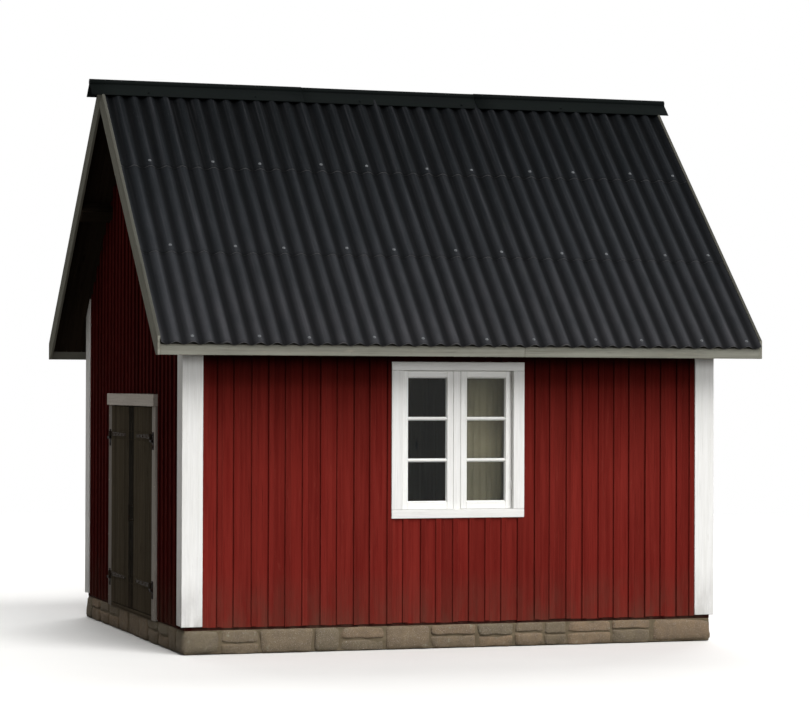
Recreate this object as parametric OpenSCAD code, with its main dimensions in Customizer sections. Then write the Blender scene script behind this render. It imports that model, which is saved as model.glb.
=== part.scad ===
// Small timber boathouse on a stone plinth: one room, a pair of doors in the left gable,
// a casement window in the front wall, and a steep roof of corrugated sheets laid in lapped courses.
// Millimetres. +Z is up, +X runs along the ridge, the eaves wall with the window faces -Y,
// and the origin lies on the ground under the middle of the ridge.

/* [Plinth and floor] */
// Height of the stone plinth above the ground
plinth_h = 190; // [120:5:400]
// Thickness of the plinth masonry
plinth_t = 260; // [220:5:400]
// How far the plinth stands out from the wall boards
plinth_out = 20; // [0:1:60]
// Thickness of the floor boards
floor_t = 28; // [20:1:45]
// Depth of the floor joists
joist_h = 145; // [95:5:170]
// Thickness of the floor joists
joist_w = 45; // [35:1:75]
// Number of floor joists
joists = 7; // [4:1:9]

/* [Walls] */
// Length of the house over its wall boards
wall_l = 4500; // [3600:10:6000]
// Depth of the house over its wall boards
wall_w = 3750; // [3300:10:5000]
// Height of the eaves walls on the outside, from the plinth to the roof boards
wall_h = 2580; // [2450:5:3000]
// Thickness of a wall with its boards
wall_t = 145; // [120:1:200]
// Width of a corner board on each face
corner_w = 170; // [100:1:220]
// Thickness of the corner boards and casings
trim_t = 28; // [20:1:40]
// Height of the corner boards' feet above the plinth
corner_lift = 30; // [0:1:80]

/* [Roof] */
// Slope of the roof in degrees
roof_pitch = 44.25; // [38:0.25:50]
// Distance from the wall boards to the face of the fascia
eave_overhang = 375; // [200:1:450]
// Distance from the wall boards to the back of the bargeboards
verge_overhang = 285; // [200:1:400]
// Thickness of the roof boards
deck_t = 22; // [18:1:30]
// Height of the eaves fascia
fascia_h = 80; // [70:1:120]
// Thickness of the fascias and bargeboards
barge_t = 22; // [18:1:30]
// Depth of a bargeboard, square to the slope
barge_w = 150; // [120:1:200]
// How far the bargeboards stand above the sheets' crests
barge_rise = 4; // [2:1:20]
// Width and depth of a side purlin
purlin_w = 120; // [90:1:160]
// Width of the ridge purlin
ridge_purlin_w = 140; // [100:1:180]
// Depth of the ridge purlin's sides
ridge_purlin_h = 110; // [80:1:160]

/* [Corrugated sheets] */
// Distance from crest to crest
wave_pitch = 134.2; // [100:0.1:180]
// Height of a wave
wave_h = 30; // [20:1:40]
// Thickness of a sheet
sheet_t = 6.5; // [5:0.1:8]
// How far the lowest sheets stand out from the fascia, along the slope
sheet_overhang = 20; // [5:1:40]
// How far each course lies over the one below
sheet_lap = 150; // [100:5:200]
// Length of a sheet that shows below the next course
sheet_show = 1060; // [900:5:1150]
// Distance from the ridge to the top of the highest course, along the slope
ridge_gap = 50; // [30:1:80]

/* [Ridge cap] */
// Length of a ridge cap wing, along the slope
cap_wing = 165; // [120:1:240]
// Radius of the roll along the top
cap_r = 28; // [20:1:45]
// Thickness of the cap's metal
cap_t = 2.5; // [1.5:0.1:4]
// How far the cap stands out past the bargeboards
cap_out = 85; // [0:1:120]

/* [Window] */
// Distance of the window from the middle of the front wall
win_x = 20; // [-600:5:600]
// Width between the window casings
win_w = 948; // [700:2:1200]
// Height between the window casings
win_h = 1124; // [800:1:1200]
// Height of the window casing's lower edge above the plinth
win_z = 863; // [750:1:950]
// Width of the window casing's side boards
win_casing_w = 95; // [70:1:110]
// Height of the casing's boards over and under the window
win_casing_h = 70; // [60:1:110]
// Thickness of the window frame's members
frame_t = 45; // [35:1:60]
// Depth of the window frame, through the wall
frame_d = 105; // [95:1:115]
// Width of the middle post between the sashes
mullion_w = 60; // [50:1:90]
// How far the sashes lie behind the wall boards
sash_back = 15; // [10:1:45]
// Thickness of a sash
sash_t = 42; // [32:1:48]
// Width of a sash's stiles and top rail
stile_w = 52; // [40:1:70]
// Height of a sash's bottom rail
rail_w = 58; // [40:1:80]
// Thickness of the glass
glass_t = 4; // [3:0.5:6]

/* [Curtain] */
// Radius of the curtain's rod
rod_r = 6; // [4:0.5:10]
// Height of the rod above the top of the sashes
rod_over = 30; // [20:1:80]
// Distance of the rod from the wall's inner face
rod_out = 40; // [35:1:80]
// How far the rod reaches past the window frame on each side
rod_end = 40; // [20:1:100]
// Width of the gathered curtain
curtain_w = 350; // [200:5:450]
// Distance of the curtain's right edge from the middle of the window
curtain_edge = 460; // [400:1:480]
// Depth of the curtain's folds
curtain_t = 36; // [20:1:50]
// How far the curtain hangs below the sashes
curtain_under = 60; // [0:1:120]

/* [Doors] */
// Distance of the doorway from the middle of the gable
door_y = -45; // [-250:5:250]
// Width of one door leaf
leaf_w = 785; // [700:1:950]
// Height of a door leaf
leaf_h = 1712; // [1600:1:1800]
// Thickness of a door leaf's planks
leaf_t = 34; // [25:1:40]
// Thickness of the door frame's jambs and head
jamb_t = 50; // [40:1:70]
// How far the door frame's stop stands into the doorway
stop_w = 12; // [8:1:20]
// Width of the casing boards beside the doors
door_casing_w = 120; // [80:1:150]
// Height of the casing board over the doors
head_casing_h = 102; // [80:1:140]
// How far that board stands out over the side casings
head_out = 18; // [0:1:40]
// Thickness of the threshold above the plinth
sill_t = 32; // [28:1:45]
// Gap between the two leaves
leaf_gap = 8; // [8:0.5:12]
// Gap beside, over and under a leaf
side_gap = 6; // [6:0.5:10]
// Width of the ledges across the back of a leaf
ledge_w = 110; // [80:1:150]
// Thickness of the ledges
ledge_t = 25; // [20:1:35]
// Distance from a ledge's end to the door frame's stop
ledge_gap = 24; // [15:1:40]

/* [Door ironwork] */
// Radius of a hinge pin
pin_r = 7; // [5:0.5:9]
// Thickness of the metal round a hinge eye
eye_wall = 5; // [3:0.5:7]
// Height of a strap and its eye
strap_h = 40; // [30:1:60]
// Length of a strap from the pin
strap_l = 600; // [400:5:700]
// Height of a strap where its point begins
strap_tip_h = 24; // [15:1:30]
// Thickness of a strap
strap_t = 5; // [4:0.5:8]
// Distance of the hinge pins in front of the leaves
pin_out = 15; // [14:0.5:20]
// Distance of the straps from the leaf's top and bottom edges
strap_inset = 245; // [150:5:320]
// Height of the arm that carries a pin
arm_h = 22; // [16:1:30]
// Distance from a hinge line to the near edge of its plate
plate_near = 20; // [16:1:30]
// Distance from a hinge line to the far edge of its plate
plate_far = 70; // [50:1:75]
// Height of a hinge plate
plate_h = 145; // [100:5:180]
// Length of the pull on the front leaf
pull_l = 140; // [100:5:220]
// Radius of the pull's bar
pull_r = 7; // [5:0.5:10]
// Distance of the pull's bar in front of the leaf
pull_out = 40; // [35:1:60]
// Height of the pull's middle above the plinth
pull_z = 850; // [700:10:1100]
// Distance of the pull from the leaf's meeting edge
pull_edge = 90; // [60:5:200]

/* [Hidden] */
$fn = 48;
// Gap between pieces that seat on each other without touching
seat = 0.3;
// Running clearance between a hinge pin and its eye
pin_play = 0.08;
// Gap between an eye and the arm below it
eye_gap = 2;
// Height of a pin above its eye
pin_over = 4;
// Gap between a sash and the frame round it
sash_gap = 2;
// Points along one wave of the sheets
wave_steps = 8;
// Courses of sheets up a slope
courses = 3;

// Outer and inner faces of the walls
wall_x = wall_l / 2;
wall_y = wall_w / 2;
room_x = wall_x - wall_t;
room_y = wall_y - wall_t;

// The roof boards' top surface starts at the fascia's face
eave_y = wall_y + eave_overhang;
eave_z = plinth_h + wall_h + deck_t / cos(roof_pitch) - eave_overhang * tan(roof_pitch);
slope_l = eave_y / cos(roof_pitch);
verge_x = wall_x + verge_overhang;

// The two lower courses show the same length, and the highest one takes what is left up to the ridge
top_course_l = slope_l - ridge_gap + sheet_overhang - (courses - 1) * sheet_show;
sheet_rise = sheet_t + seat;
sheet_tilt = atan(sheet_rise / sheet_show);
sheet_foot = sheet_rise * sheet_lap / sheet_show;
crest_h = wave_h + sheet_t + sheet_foot + sheet_rise;

// Doorway: leaves, frame and the opening in the wall round them
door_clear = 2 * leaf_w + leaf_gap + 2 * side_gap;
door_hole = door_clear + 2 * jamb_t;
leaf_z = plinth_h + sill_t + side_gap;
head_z = leaf_z + leaf_h + side_gap;
leaf_x = -wall_x - trim_t;
pin_x = leaf_x - pin_out;
stop_x = leaf_x + leaf_t + side_gap;
strap_z = [leaf_z + strap_inset, leaf_z + leaf_h - strap_inset];

// Window: frame, sashes and glass
frame_w = win_w + 2 * frame_t;
frame_h = win_h + 2 * frame_t;
win_low = plinth_h + win_z + win_casing_h;
sash_w = (win_w - mullion_w) / 2 - 2 * sash_gap;
sash_h = win_h - 2 * sash_gap;
sash_x = (mullion_w + sash_w) / 2 + sash_gap;

// Height of the roof boards' top and underside, and of what carries them, at a distance y from the ridge
function roof_z(y) = eave_z + (eave_y - abs(y)) * tan(roof_pitch);
function soffit_z(y) = roof_z(y) - deck_t / cos(roof_pitch);
function bearing_z(y) = soffit_z(y) - seat;

// A cross-section drawn in Y and Z, run along X
module run_x(x, length) {
    translate([x, 0, 0]) rotate([90, 0, 90]) linear_extrude(length) children();
}

// A block between two corners
module block(low, high) {
    translate(low) cube(high - low);
}

// The same piece on the back slope or wall
module at_back() {
    mirror([0, 1, 0]) children();
}

// Frame of the front slope: Y up the slope from the fascia's face, Z square to the roof boards
module on_slope() {
    translate([0, -eave_y, eave_z]) rotate([roof_pitch, 0, 0]) children();
}

// Plinth of natural stone, drawn as its plain masonry
module long_plinth() {
    edge = wall_y + plinth_out;
    end = wall_x + plinth_out;
    color("rosybrown") block([-end, -edge, 0], [end, plinth_t - edge, plinth_h]);
}

module end_plinth() {
    edge = wall_y + plinth_out - plinth_t;
    end = wall_x + plinth_out;
    color("rosybrown") block([-end, -edge, 0], [plinth_t - end, edge, plinth_h]);
}

// Floor boards on joists that run from the front plinth to the back one
module floor_deck() {
    inner_y = wall_y + plinth_out - plinth_t;
    end = wall_x + plinth_out - plinth_t - joist_w / 2;
    color("tan") union() {
        block([-room_x, -room_y, plinth_h], [room_x, room_y, plinth_h + floor_t]);
        for (i = [0:joists - 1]) {
            side = -end - joist_w / 2 + 2 * end * i / (joists - 1);
            block([side, -inner_y, plinth_h - joist_h], [side + joist_w, inner_y, plinth_h + 1]);
        }
    }
}

// Eaves wall, its top cut to the roof boards
module eaves_wall() {
    run_x(-wall_x, wall_l) polygon([
        [-wall_y, plinth_h], [-room_y, plinth_h],
        [-room_y, bearing_z(room_y)], [-wall_y, bearing_z(wall_y)]
    ]);
}

module front_wall() {
    hole_w = frame_w / 2 + seat;
    color("firebrick") difference() {
        eaves_wall();
        block(
            [win_x - hole_w, -wall_y - 1, win_low - frame_t - seat],
            [win_x + hole_w, -room_y + 1, win_low + win_h + frame_t + seat]
        );
    }
}

module back_wall() {
    color("firebrick") at_back() eaves_wall();
}

// Outline of a gable between the eaves walls, from a height up to the roof boards
module gable_outline(low) {
    polygon([
        [-room_y, low], [room_y, low], [room_y, bearing_z(room_y)],
        [0, bearing_z(0)], [-room_y, bearing_z(room_y)]
    ]);
}

// past is how far a notch for it runs up past the top of the gable
module ridge_purlin_outline(gap = 0, past = 0) {
    half = ridge_purlin_w / 2 + gap;
    foot = bearing_z(ridge_purlin_w / 2) - ridge_purlin_h - gap;
    polygon([
        [-half, foot], [half, foot], [half, bearing_z(half) + past],
        [0, bearing_z(0) + past], [-half, bearing_z(half) + past]
    ]);
}

// Side purlin on the front slope, halfway between the wall and the ridge
module side_purlin_outline(gap = 0, past = 0) {
    translate([-wall_y / 2, bearing_z(wall_y / 2)]) rotate(roof_pitch)
        translate([-purlin_w / 2 - gap, -purlin_w - gap]) square([purlin_w + 2 * gap, purlin_w + gap + past]);
}

module gable_with_notches(low) {
    difference() {
        gable_outline(low);
        ridge_purlin_outline(seat, 1);
        side_purlin_outline(seat, 1);
        mirror([1, 0]) side_purlin_outline(seat, 1);
    }
}

module right_wall() {
    color("firebrick") run_x(room_x, wall_t) gable_with_notches(plinth_h);
}

module left_gable() {
    color("firebrick") run_x(-wall_x, wall_t) gable_with_notches(head_z + jamb_t);
}

module left_wall_front() {
    color("firebrick")
        block([-wall_x, -room_y, plinth_h], [-room_x, door_y - door_hole / 2, head_z + jamb_t]);
}

module left_wall_back() {
    color("firebrick")
        block([-wall_x, door_y + door_hole / 2, plinth_h], [-room_x, room_y, head_z + jamb_t]);
}

// Two boards on a corner: the one on the eaves wall covers the edge of the one on the gable
module corner_boards() {
    low = plinth_h + corner_lift;
    face = wall_y + trim_t;
    inner = face - corner_w;
    color("white") {
        run_x(-wall_x - trim_t, corner_w) polygon([
            [-face, low], [-wall_y, low], [-wall_y, bearing_z(wall_y)], [-face, bearing_z(face)]
        ]);
        run_x(-wall_x - trim_t, trim_t) polygon([
            [-wall_y, low], [-inner, low], [-inner, bearing_z(inner)], [-wall_y, bearing_z(wall_y)]
        ]);
    }
}

// Ridge purlin and a side purlin under each slope, from verge to verge
module purlins() {
    color("burlywood") run_x(-verge_x, 2 * verge_x) {
        ridge_purlin_outline();
        side_purlin_outline();
        mirror([1, 0]) side_purlin_outline();
    }
}

// Roof boards with a plumb cut at the ridge and behind the fascia
module roof_boards() {
    edge = eave_y - barge_t;
    color("sienna") run_x(-verge_x, 2 * verge_x) polygon([
        [-edge, soffit_z(edge)], [0, soffit_z(0)], [0, roof_z(0)], [-edge, roof_z(edge)]
    ]);
}

// Height of a wave's underside at a distance x from the middle of the roof, where there is a crest
function wave_z(x) = wave_h * (1 + cos(360 * x / wave_pitch)) / 2;

// Points along a sheet's width: whole steps of a wave, and the two cut edges
function wave_points() =
    let (step = wave_pitch / wave_steps, n = ceil(verge_x / step) - 1)
    concat([-verge_x], [for (i = [-n:n]) i * step], [verge_x]);

module corrugated_outline() {
    xs = wave_points();
    last = len(xs) - 1;
    polygon(concat(
        [for (x = xs) [x, wave_z(x)]],
        [for (i = [last:-1:0]) [xs[i], wave_z(xs[i]) + sheet_t]]
    ));
}

// One course of sheets. Its foot lies on the course below, and its head on the roof boards.
module sheet_course(number) {
    start = number * sheet_show - sheet_overhang;
    length = number == courses - 1 ? top_course_l : sheet_show + sheet_lap;
    color("dimgray") on_slope()
        translate([0, start, sheet_rise + sheet_foot]) rotate([-sheet_tilt, 0, 0])
            translate([0, length, 0]) rotate([90, 0, 0]) linear_extrude(length) corrugated_outline();
}

// Ridge cap: two wings on the sheets' crests, and a roll along the top
module ridge_cap() {
    rest_h = crest_h / cos(roof_pitch);
    wing_y = cap_wing * cos(roof_pitch);
    wing_t = cap_t / cos(roof_pitch);
    top = roof_z(0) + rest_h;
    low = roof_z(wing_y) + rest_h;
    end = verge_x + barge_t + cap_out;
    color("dimgray") run_x(-end, 2 * end) difference() {
        union() {
            polygon([
                [-wing_y, low], [0, top], [wing_y, low],
                [wing_y, low + wing_t], [0, top + wing_t], [-wing_y, low + wing_t]
            ]);
            translate([0, top]) circle(cap_r);
        }
        translate([0, top]) circle(cap_r - cap_t);
        polygon([[-wing_y, low], [0, top], [wing_y, low], [wing_y, low - cap_wing], [-wing_y, low - cap_wing]]);
    }
}

// Fascia along the eaves, its top bevelled to the roof boards
module fascia() {
    back = eave_y - barge_t;
    low = eave_z - fascia_h;
    color("lightgray") run_x(-verge_x, 2 * verge_x) polygon([
        [-eave_y, low], [-back, low], [-back, roof_z(back)], [-eave_y, eave_z]
    ]);
}

// Bargeboard up one slope, with a plumb cut at the ridge and a level cut at the eaves
module bargeboard() {
    rise = (crest_h + barge_rise) / cos(roof_pitch);
    cap_clear = (barge_rise + seat) / cos(roof_pitch);
    depth = barge_w / cos(roof_pitch);
    low = eave_z - fascia_h;
    foot_y = eave_y - (low - eave_z - rise + depth) / tan(roof_pitch);
    cap_y = cap_wing * cos(roof_pitch) + 1;
    color("lightgray") run_x(-verge_x - barge_t, barge_t) polygon([
        [-eave_y, low], [-foot_y, low], [0, roof_z(0) + rise - depth],
        [0, roof_z(0) + rise - cap_clear], [-cap_y, roof_z(cap_y) + rise - cap_clear],
        [-cap_y, roof_z(cap_y) + rise], [-eave_y, eave_z + rise]
    ]);
}

// A rectangular frame in the front wall's plane, between two distances from the wall boards
module wall_frame(width, height, bars, near, far) {
    top_bar = bars[0];
    side_bar = bars[1];
    low_bar = bars[2];
    difference() {
        block([-width / 2, near - wall_y, 0], [width / 2, far - wall_y, height]);
        block(
            [side_bar - width / 2, near - wall_y - 1, low_bar],
            [width / 2 - side_bar, far - wall_y + 1, height - top_bar]
        );
    }
}

module window_casing() {
    width = win_w + 2 * win_casing_w;
    height = win_h + 2 * win_casing_h;
    color("white") translate([win_x, 0, win_low - win_casing_h])
        wall_frame(width, height, [win_casing_h, win_casing_w, win_casing_h], -trim_t, 0);
}

// Frame with a stop behind the sashes, and a post between them
module window_frame() {
    back = sash_back + sash_t + seat;
    stop = frame_t + stop_w;
    color("white") translate([win_x, 0, win_low - frame_t]) {
        wall_frame(frame_w, frame_h, [frame_t, frame_t, frame_t], 0, back);
        wall_frame(frame_w, frame_h, [stop, stop, stop], back, frame_d);
        block([-mullion_w / 2, sash_back - wall_y, frame_t], [mullion_w / 2, back - wall_y, frame_h - frame_t]);
        block(
            [-mullion_w / 2 - stop_w, back - wall_y, frame_t],
            [mullion_w / 2 + stop_w, frame_d - wall_y, frame_h - frame_t]
        );
    }
}

module sash(side) {
    color("white") translate([win_x + side * sash_x, 0, win_low + sash_gap])
        wall_frame(sash_w, sash_h, [stile_w, stile_w, rail_w], sash_back, sash_back + sash_t);
}

module window_glass() {
    half = sash_w / 2 - stile_w - seat;
    face = sash_back + (sash_t - glass_t) / 2 - wall_y;
    low = win_low + sash_gap + rail_w + seat;
    high = win_low + sash_gap + sash_h - stile_w - seat;
    color([0.3, 0.35, 0.35]) for (side = [-1, 1]) translate([win_x + side * sash_x, 0, 0])
        block([-half, face, low], [half, face + glass_t, high]);
}

// Curtain gathered behind the right sash, on a rod with a bracket at each end
module window_curtain() {
    rod_y = rod_out - room_y;
    rod_z = win_low + win_h + rod_over;
    reach = frame_w / 2 + rod_end;
    bracket_l = rod_out - seat;
    color("tan") translate([win_x, rod_y, rod_z]) union() {
        translate([-reach, 0, 0]) rotate([0, 90, 0]) cylinder(h = 2 * reach, r = rod_r);
        for (side = [-1, 1]) translate([side * (reach - 2 * rod_r), 0, 0])
            rotate([90, 0, 0]) cylinder(h = bracket_l, r = rod_r);
        block(
            [curtain_edge - curtain_w, -curtain_t / 2, win_low - curtain_under - rod_z],
            [curtain_edge, curtain_t / 2, rod_r]
        );
    }
}

// Casing boards beside the doorway, flush with the closed leaves, and a thicker one over it
module door_casing() {
    half = door_clear / 2;
    outer = half + door_casing_w;
    color("gainsboro") translate([0, door_y, 0]) union() {
        block([leaf_x, -outer, plinth_h], [-wall_x, -half, head_z]);
        block([leaf_x, half, plinth_h], [-wall_x, outer, head_z]);
        block([leaf_x - head_out, -outer, head_z], [-wall_x, outer, head_z + head_casing_h]);
    }
}

// Door frame with a stop behind the leaves
module door_frame() {
    half = door_clear / 2;
    color("gray") translate([0, door_y, 0]) difference() {
        block([-wall_x, -half - jamb_t, plinth_h], [-room_x, half + jamb_t, head_z + jamb_t]);
        block([-wall_x - 1, -half, plinth_h - 1], [stop_x, half, head_z]);
        block([-wall_x - 1, stop_w - half, plinth_h - 1], [1 - room_x, half - stop_w, head_z - stop_w]);
    }
}

module door_sill() {
    half = door_clear / 2;
    color("gray") translate([0, door_y, 0]) {
        block([leaf_x, -half + seat, plinth_h], [stop_x, half - seat, plinth_h + sill_t]);
        inner = half - stop_w - seat;
        block([stop_x, -inner, plinth_h], [-room_x - seat, inner, plinth_h + sill_t]);
    }
}

// Puts what is drawn for the front leaf at the doorway: its hinge line is drawn at Y = 0, and it runs to +Y
module at_front_jamb() {
    translate([0, door_y - door_clear / 2, 0]) children();
}

// The same for the back leaf, which is its mirror image
module at_back_jamb() {
    translate([0, door_y + door_clear / 2, 0]) mirror([0, 1, 0]) children();
}

// Planks with two ledges across the back
module leaf() {
    color("dimgray") union() {
        block([leaf_x, side_gap, leaf_z], [leaf_x + leaf_t, side_gap + leaf_w, leaf_z + leaf_h]);
        for (z = strap_z) {
            inset = stop_w + ledge_gap - side_gap;
            block(
                [leaf_x + leaf_t - 1, side_gap + inset, z - ledge_w / 2],
                [leaf_x + leaf_t + ledge_t, side_gap + leaf_w - inset, z + ledge_w / 2]
            );
        }
    }
}

module front_door_leaf() {
    at_front_jamb() leaf();
}

module back_door_leaf() {
    at_back_jamb() leaf();
}

// Two straps on a leaf's face, each with an eye round its hinge pin and a pointed end
module straps() {
    eye_r = pin_r + pin_play + eye_wall;
    tip_y = strap_h - strap_l;
    color([0.15, 0.14, 0.13]) for (z = strap_z) translate([0, 0, z - strap_h / 2]) difference() {
        union() {
            translate([pin_x, 0, 0]) cylinder(h = strap_h, r = eye_r);
            translate([leaf_x - seat, 0, 0]) rotate([90, 0, -90]) linear_extrude(strap_t) polygon([
                [0, 0], [tip_y, (strap_h - strap_tip_h) / 2], [-strap_l, strap_h / 2],
                [tip_y, (strap_h + strap_tip_h) / 2], [0, strap_h]
            ]);
            translate([pin_x, 0, 0]) cube([pin_out - seat, eye_r, strap_h]);
        }
        translate([pin_x, 0, -1]) cylinder(h = strap_h + 2, r = pin_r + pin_play);
    }
}

// Pull on a leaf: an upright bar on two feet
module pull() {
    bar_x = leaf_x - pull_out;
    color([0.15, 0.14, 0.13]) translate([0, side_gap + leaf_w - pull_edge, plinth_h + pull_z]) union() {
        translate([bar_x, 0, -pull_l / 2]) cylinder(h = pull_l, r = pull_r);
        for (z = [-1, 1] * (pull_l / 2 - pull_r)) translate([bar_x, 0, z]) rotate([0, 90, 0]) {
            cylinder(h = pull_out - seat, r = pull_r);
            translate([0, 0, pull_out - seat - strap_t]) cylinder(h = strap_t, r = 2 * pull_r);
        }
    }
}

module front_door_ironwork() {
    at_front_jamb() {
        straps();
        pull();
    }
}

module back_door_ironwork() {
    at_back_jamb() straps();
}

// Pintle: a plate on the casing, an arm that stands out from it, and the pin on the arm's end
module pintle() {
    arm_r = pin_r + 1;
    arm_top = -strap_h / 2 - eye_gap;
    arm_low = arm_top - arm_h;
    pin_l = arm_h + eye_gap + strap_h + pin_over;
    middle = (arm_top + arm_low) / 2;
    back = leaf_x - seat;
    union() {
        translate([pin_x, 0, arm_low]) cylinder(h = pin_l, r = pin_r);
        translate([pin_x, 0, arm_low]) cylinder(h = arm_h, r = arm_r);
        block([pin_x - arm_r, -plate_far, arm_low], [pin_x + arm_r, 0, arm_top]);
        block([pin_x, -plate_far, arm_low], [back, -plate_near, arm_top]);
        block([back - strap_t, -plate_far, middle - plate_h / 2], [back, -plate_near, middle + plate_h / 2]);
    }
}

module door_pintles() {
    color([0.15, 0.14, 0.13]) for (z = strap_z) {
        at_front_jamb() translate([0, 0, z]) pintle();
        at_back_jamb() translate([0, 0, z]) pintle();
    }
}

long_plinth();  // front_plinth
at_back() long_plinth();  // back_plinth
end_plinth();  // left_plinth
mirror([1, 0, 0]) end_plinth();  // right_plinth
floor_deck();  // floor
front_wall();
back_wall();
right_wall();
left_wall_front();
left_wall_back();
left_gable();
corner_boards();  // front_left_corner_boards
mirror([1, 0, 0]) corner_boards();  // front_right_corner_boards
at_back() corner_boards();  // back_left_corner_boards
mirror([1, 0, 0]) at_back() corner_boards();  // back_right_corner_boards
purlins();
roof_boards();  // front_roof_boards
at_back() roof_boards();  // back_roof_boards
sheet_course(0);  // front_sheets_lower
sheet_course(1);  // front_sheets_middle
sheet_course(2);  // front_sheets_upper
at_back() sheet_course(0);  // back_sheets_lower
at_back() sheet_course(1);  // back_sheets_middle
at_back() sheet_course(2);  // back_sheets_upper
ridge_cap();
fascia();  // front_fascia
at_back() fascia();  // back_fascia
bargeboard();  // left_front_bargeboard
at_back() bargeboard();  // left_back_bargeboard
mirror([1, 0, 0]) bargeboard();  // right_front_bargeboard
mirror([1, 0, 0]) at_back() bargeboard();  // right_back_bargeboard
window_casing();
window_frame();
sash(-1);  // left_sash
sash(1);  // right_sash
window_glass();
window_curtain();
door_casing();
door_frame();
door_sill();
front_door_leaf();
back_door_leaf();
front_door_ironwork();
back_door_ironwork();
door_pintles();
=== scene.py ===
# Looks of the timber boathouse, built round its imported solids. Metres, in the frame of the CAD:
# X runs along the ridge, the eaves wall with the window faces -Y, the gable with the doors faces -X,
# and Z is up from the ground.

import math
import random

import bmesh
import bpy
from mathutils import Matrix, Vector, noise

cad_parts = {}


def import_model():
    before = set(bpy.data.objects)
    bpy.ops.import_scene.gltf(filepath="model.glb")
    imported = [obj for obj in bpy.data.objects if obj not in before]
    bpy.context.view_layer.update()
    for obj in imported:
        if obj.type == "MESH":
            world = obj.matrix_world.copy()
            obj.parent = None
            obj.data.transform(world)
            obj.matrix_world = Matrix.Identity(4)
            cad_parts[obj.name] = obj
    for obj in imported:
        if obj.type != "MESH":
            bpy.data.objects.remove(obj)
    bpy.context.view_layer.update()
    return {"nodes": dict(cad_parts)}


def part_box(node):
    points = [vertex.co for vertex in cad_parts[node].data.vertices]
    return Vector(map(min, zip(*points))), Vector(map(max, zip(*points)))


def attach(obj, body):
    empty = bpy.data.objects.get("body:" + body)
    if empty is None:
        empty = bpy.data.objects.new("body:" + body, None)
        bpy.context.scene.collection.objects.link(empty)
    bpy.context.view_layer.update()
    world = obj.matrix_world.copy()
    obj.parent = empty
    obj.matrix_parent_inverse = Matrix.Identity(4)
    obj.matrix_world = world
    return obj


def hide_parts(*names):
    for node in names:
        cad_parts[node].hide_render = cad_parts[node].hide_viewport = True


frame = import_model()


def low(node):
    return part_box(node)[0]


def high(node):
    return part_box(node)[1]


def hole_of(node, axis):
    """Left, right, lowest and highest place of a node in a wall that runs along X (0) or Y (1)."""
    return low(node)[axis], high(node)[axis], low(node).z, high(node).z


# Directions along a piece
ALONG = (1, 0, 0)
ACROSS = (0, 1, 0)
UP = (0, 0, 1)

# Main sizes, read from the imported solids
WALL_X = high("front_wall").x
WALL_Y = high("back_wall").y
ROOM_X = low("right_wall").x
ROOM_Y = high("left_gable").y
PLINTH_H = high("front_plinth").z
FLOOR_Z = high("floor").z
TRIM_T = -WALL_Y - low("front_left_corner_boards").y
CORNER_IN_X = -high("front_left_corner_boards").x
CORNER_IN_Y = -high("front_left_corner_boards").y
VERGE_X = high("purlins").x
BARGE_T = high("right_front_bargeboard").x - VERGE_X
EAVE_Y = -low("front_fascia").y
FASCIA_Y = -high("front_fascia").y
FASCIA_LOW = low("front_fascia").z
RIDGE_Z = high("front_roof_boards").z
SLOPE = (RIDGE_Z - high("front_fascia").z) / FASCIA_Y
PITCH = math.atan(SLOPE)
COS = math.cos(PITCH)
SIN = math.sin(PITCH)
EAVE_Z = RIDGE_Z - EAVE_Y * SLOPE
DECK_DROP = RIDGE_Z - FASCIA_Y * SLOPE - low("front_roof_boards").z
SLOPE_L = EAVE_Y / COS
WINDOW_HOLE = hole_of("window_casing", 0)
WINDOW_FRAME_HOLE = hole_of("window_frame", 0)
DOOR_HOLE = hole_of("door_casing", 1)
DOOR_FRAME_HOLE = hole_of("door_frame", 1)

# Sizes that the solids' boxes don't give, as in part.scad
SEAT = 0.0003
JOISTS = 7
JOIST_W = 0.045
WAVE_PITCH = 0.1342
WAVE_H = 0.030
SHEET_T = 0.0065
SHEET_OVERHANG = 0.020
SHEET_LAP = 0.150
RIDGE_GAP = 0.050
SHEET_SHOW = 1.060
COURSES = 3
BARGE_W = 0.150
BARGE_CLEAR = 0.0043 / COS
CAP_WING = 0.165
CAP_R = 0.028
CAP_T = 0.0025
FRAME_BAR = 0.045
JAMB_T = 0.050
STOP_W = 0.012
STILE_W = 0.052
RAIL_W = 0.058
LEAF_T = 0.034
LEAF_TO_STOP = 0.040
LEDGE_W = 0.110
STRAP_INSET = 0.245
STRAP_T = 0.005
PLATE_DROP = 0.033
ROD_R = 0.006
ROD_OUT = 0.040
CLOTH_W = 0.350
CLOTH_DEPTH = 0.036

# Sizes that follow from those
TOP_COURSE_L = SLOPE_L - RIDGE_GAP + SHEET_OVERHANG - (COURSES - 1) * SHEET_SHOW
SHEET_FOOT = (SHEET_T + SEAT) * (1 + SHEET_LAP / SHEET_SHOW)
WIN_X = (low("window_frame").x + high("window_frame").x) / 2
CLOTH_RIGHT = WIN_X + 0.460

# Cladding: boards side by side, and a batten over each joint. Lining: boards alone
BOARD_PITCH = 0.1395
BOARD_LIFT = 0.022
BOARD_FACE = 0.005
BATTEN_W = 0.044
BATTEN_FACE = 0.020
LINING_PITCH = 0.118
LINING_T = 0.008
# Half the gap between two boards that meet
JOINT = 0.0008


def roof_z(y):
    """Height of the roof boards' top at a distance y from the ridge."""
    return RIDGE_Z - abs(y) * SLOPE


def soffit_z(y):
    """Height of the roof boards' underside."""
    return roof_z(y) - DECK_DROP


def smooth_step(value):
    value = min(max(value, 0.0), 1.0)
    return value * value * (3 - 2 * value)


# Meshes


def rectangle(left, right, bottom, top):
    left, right = sorted((left, right))
    bottom, top = sorted((bottom, top))
    return [(left, bottom), (right, bottom), (right, top), (left, top)]


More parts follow.
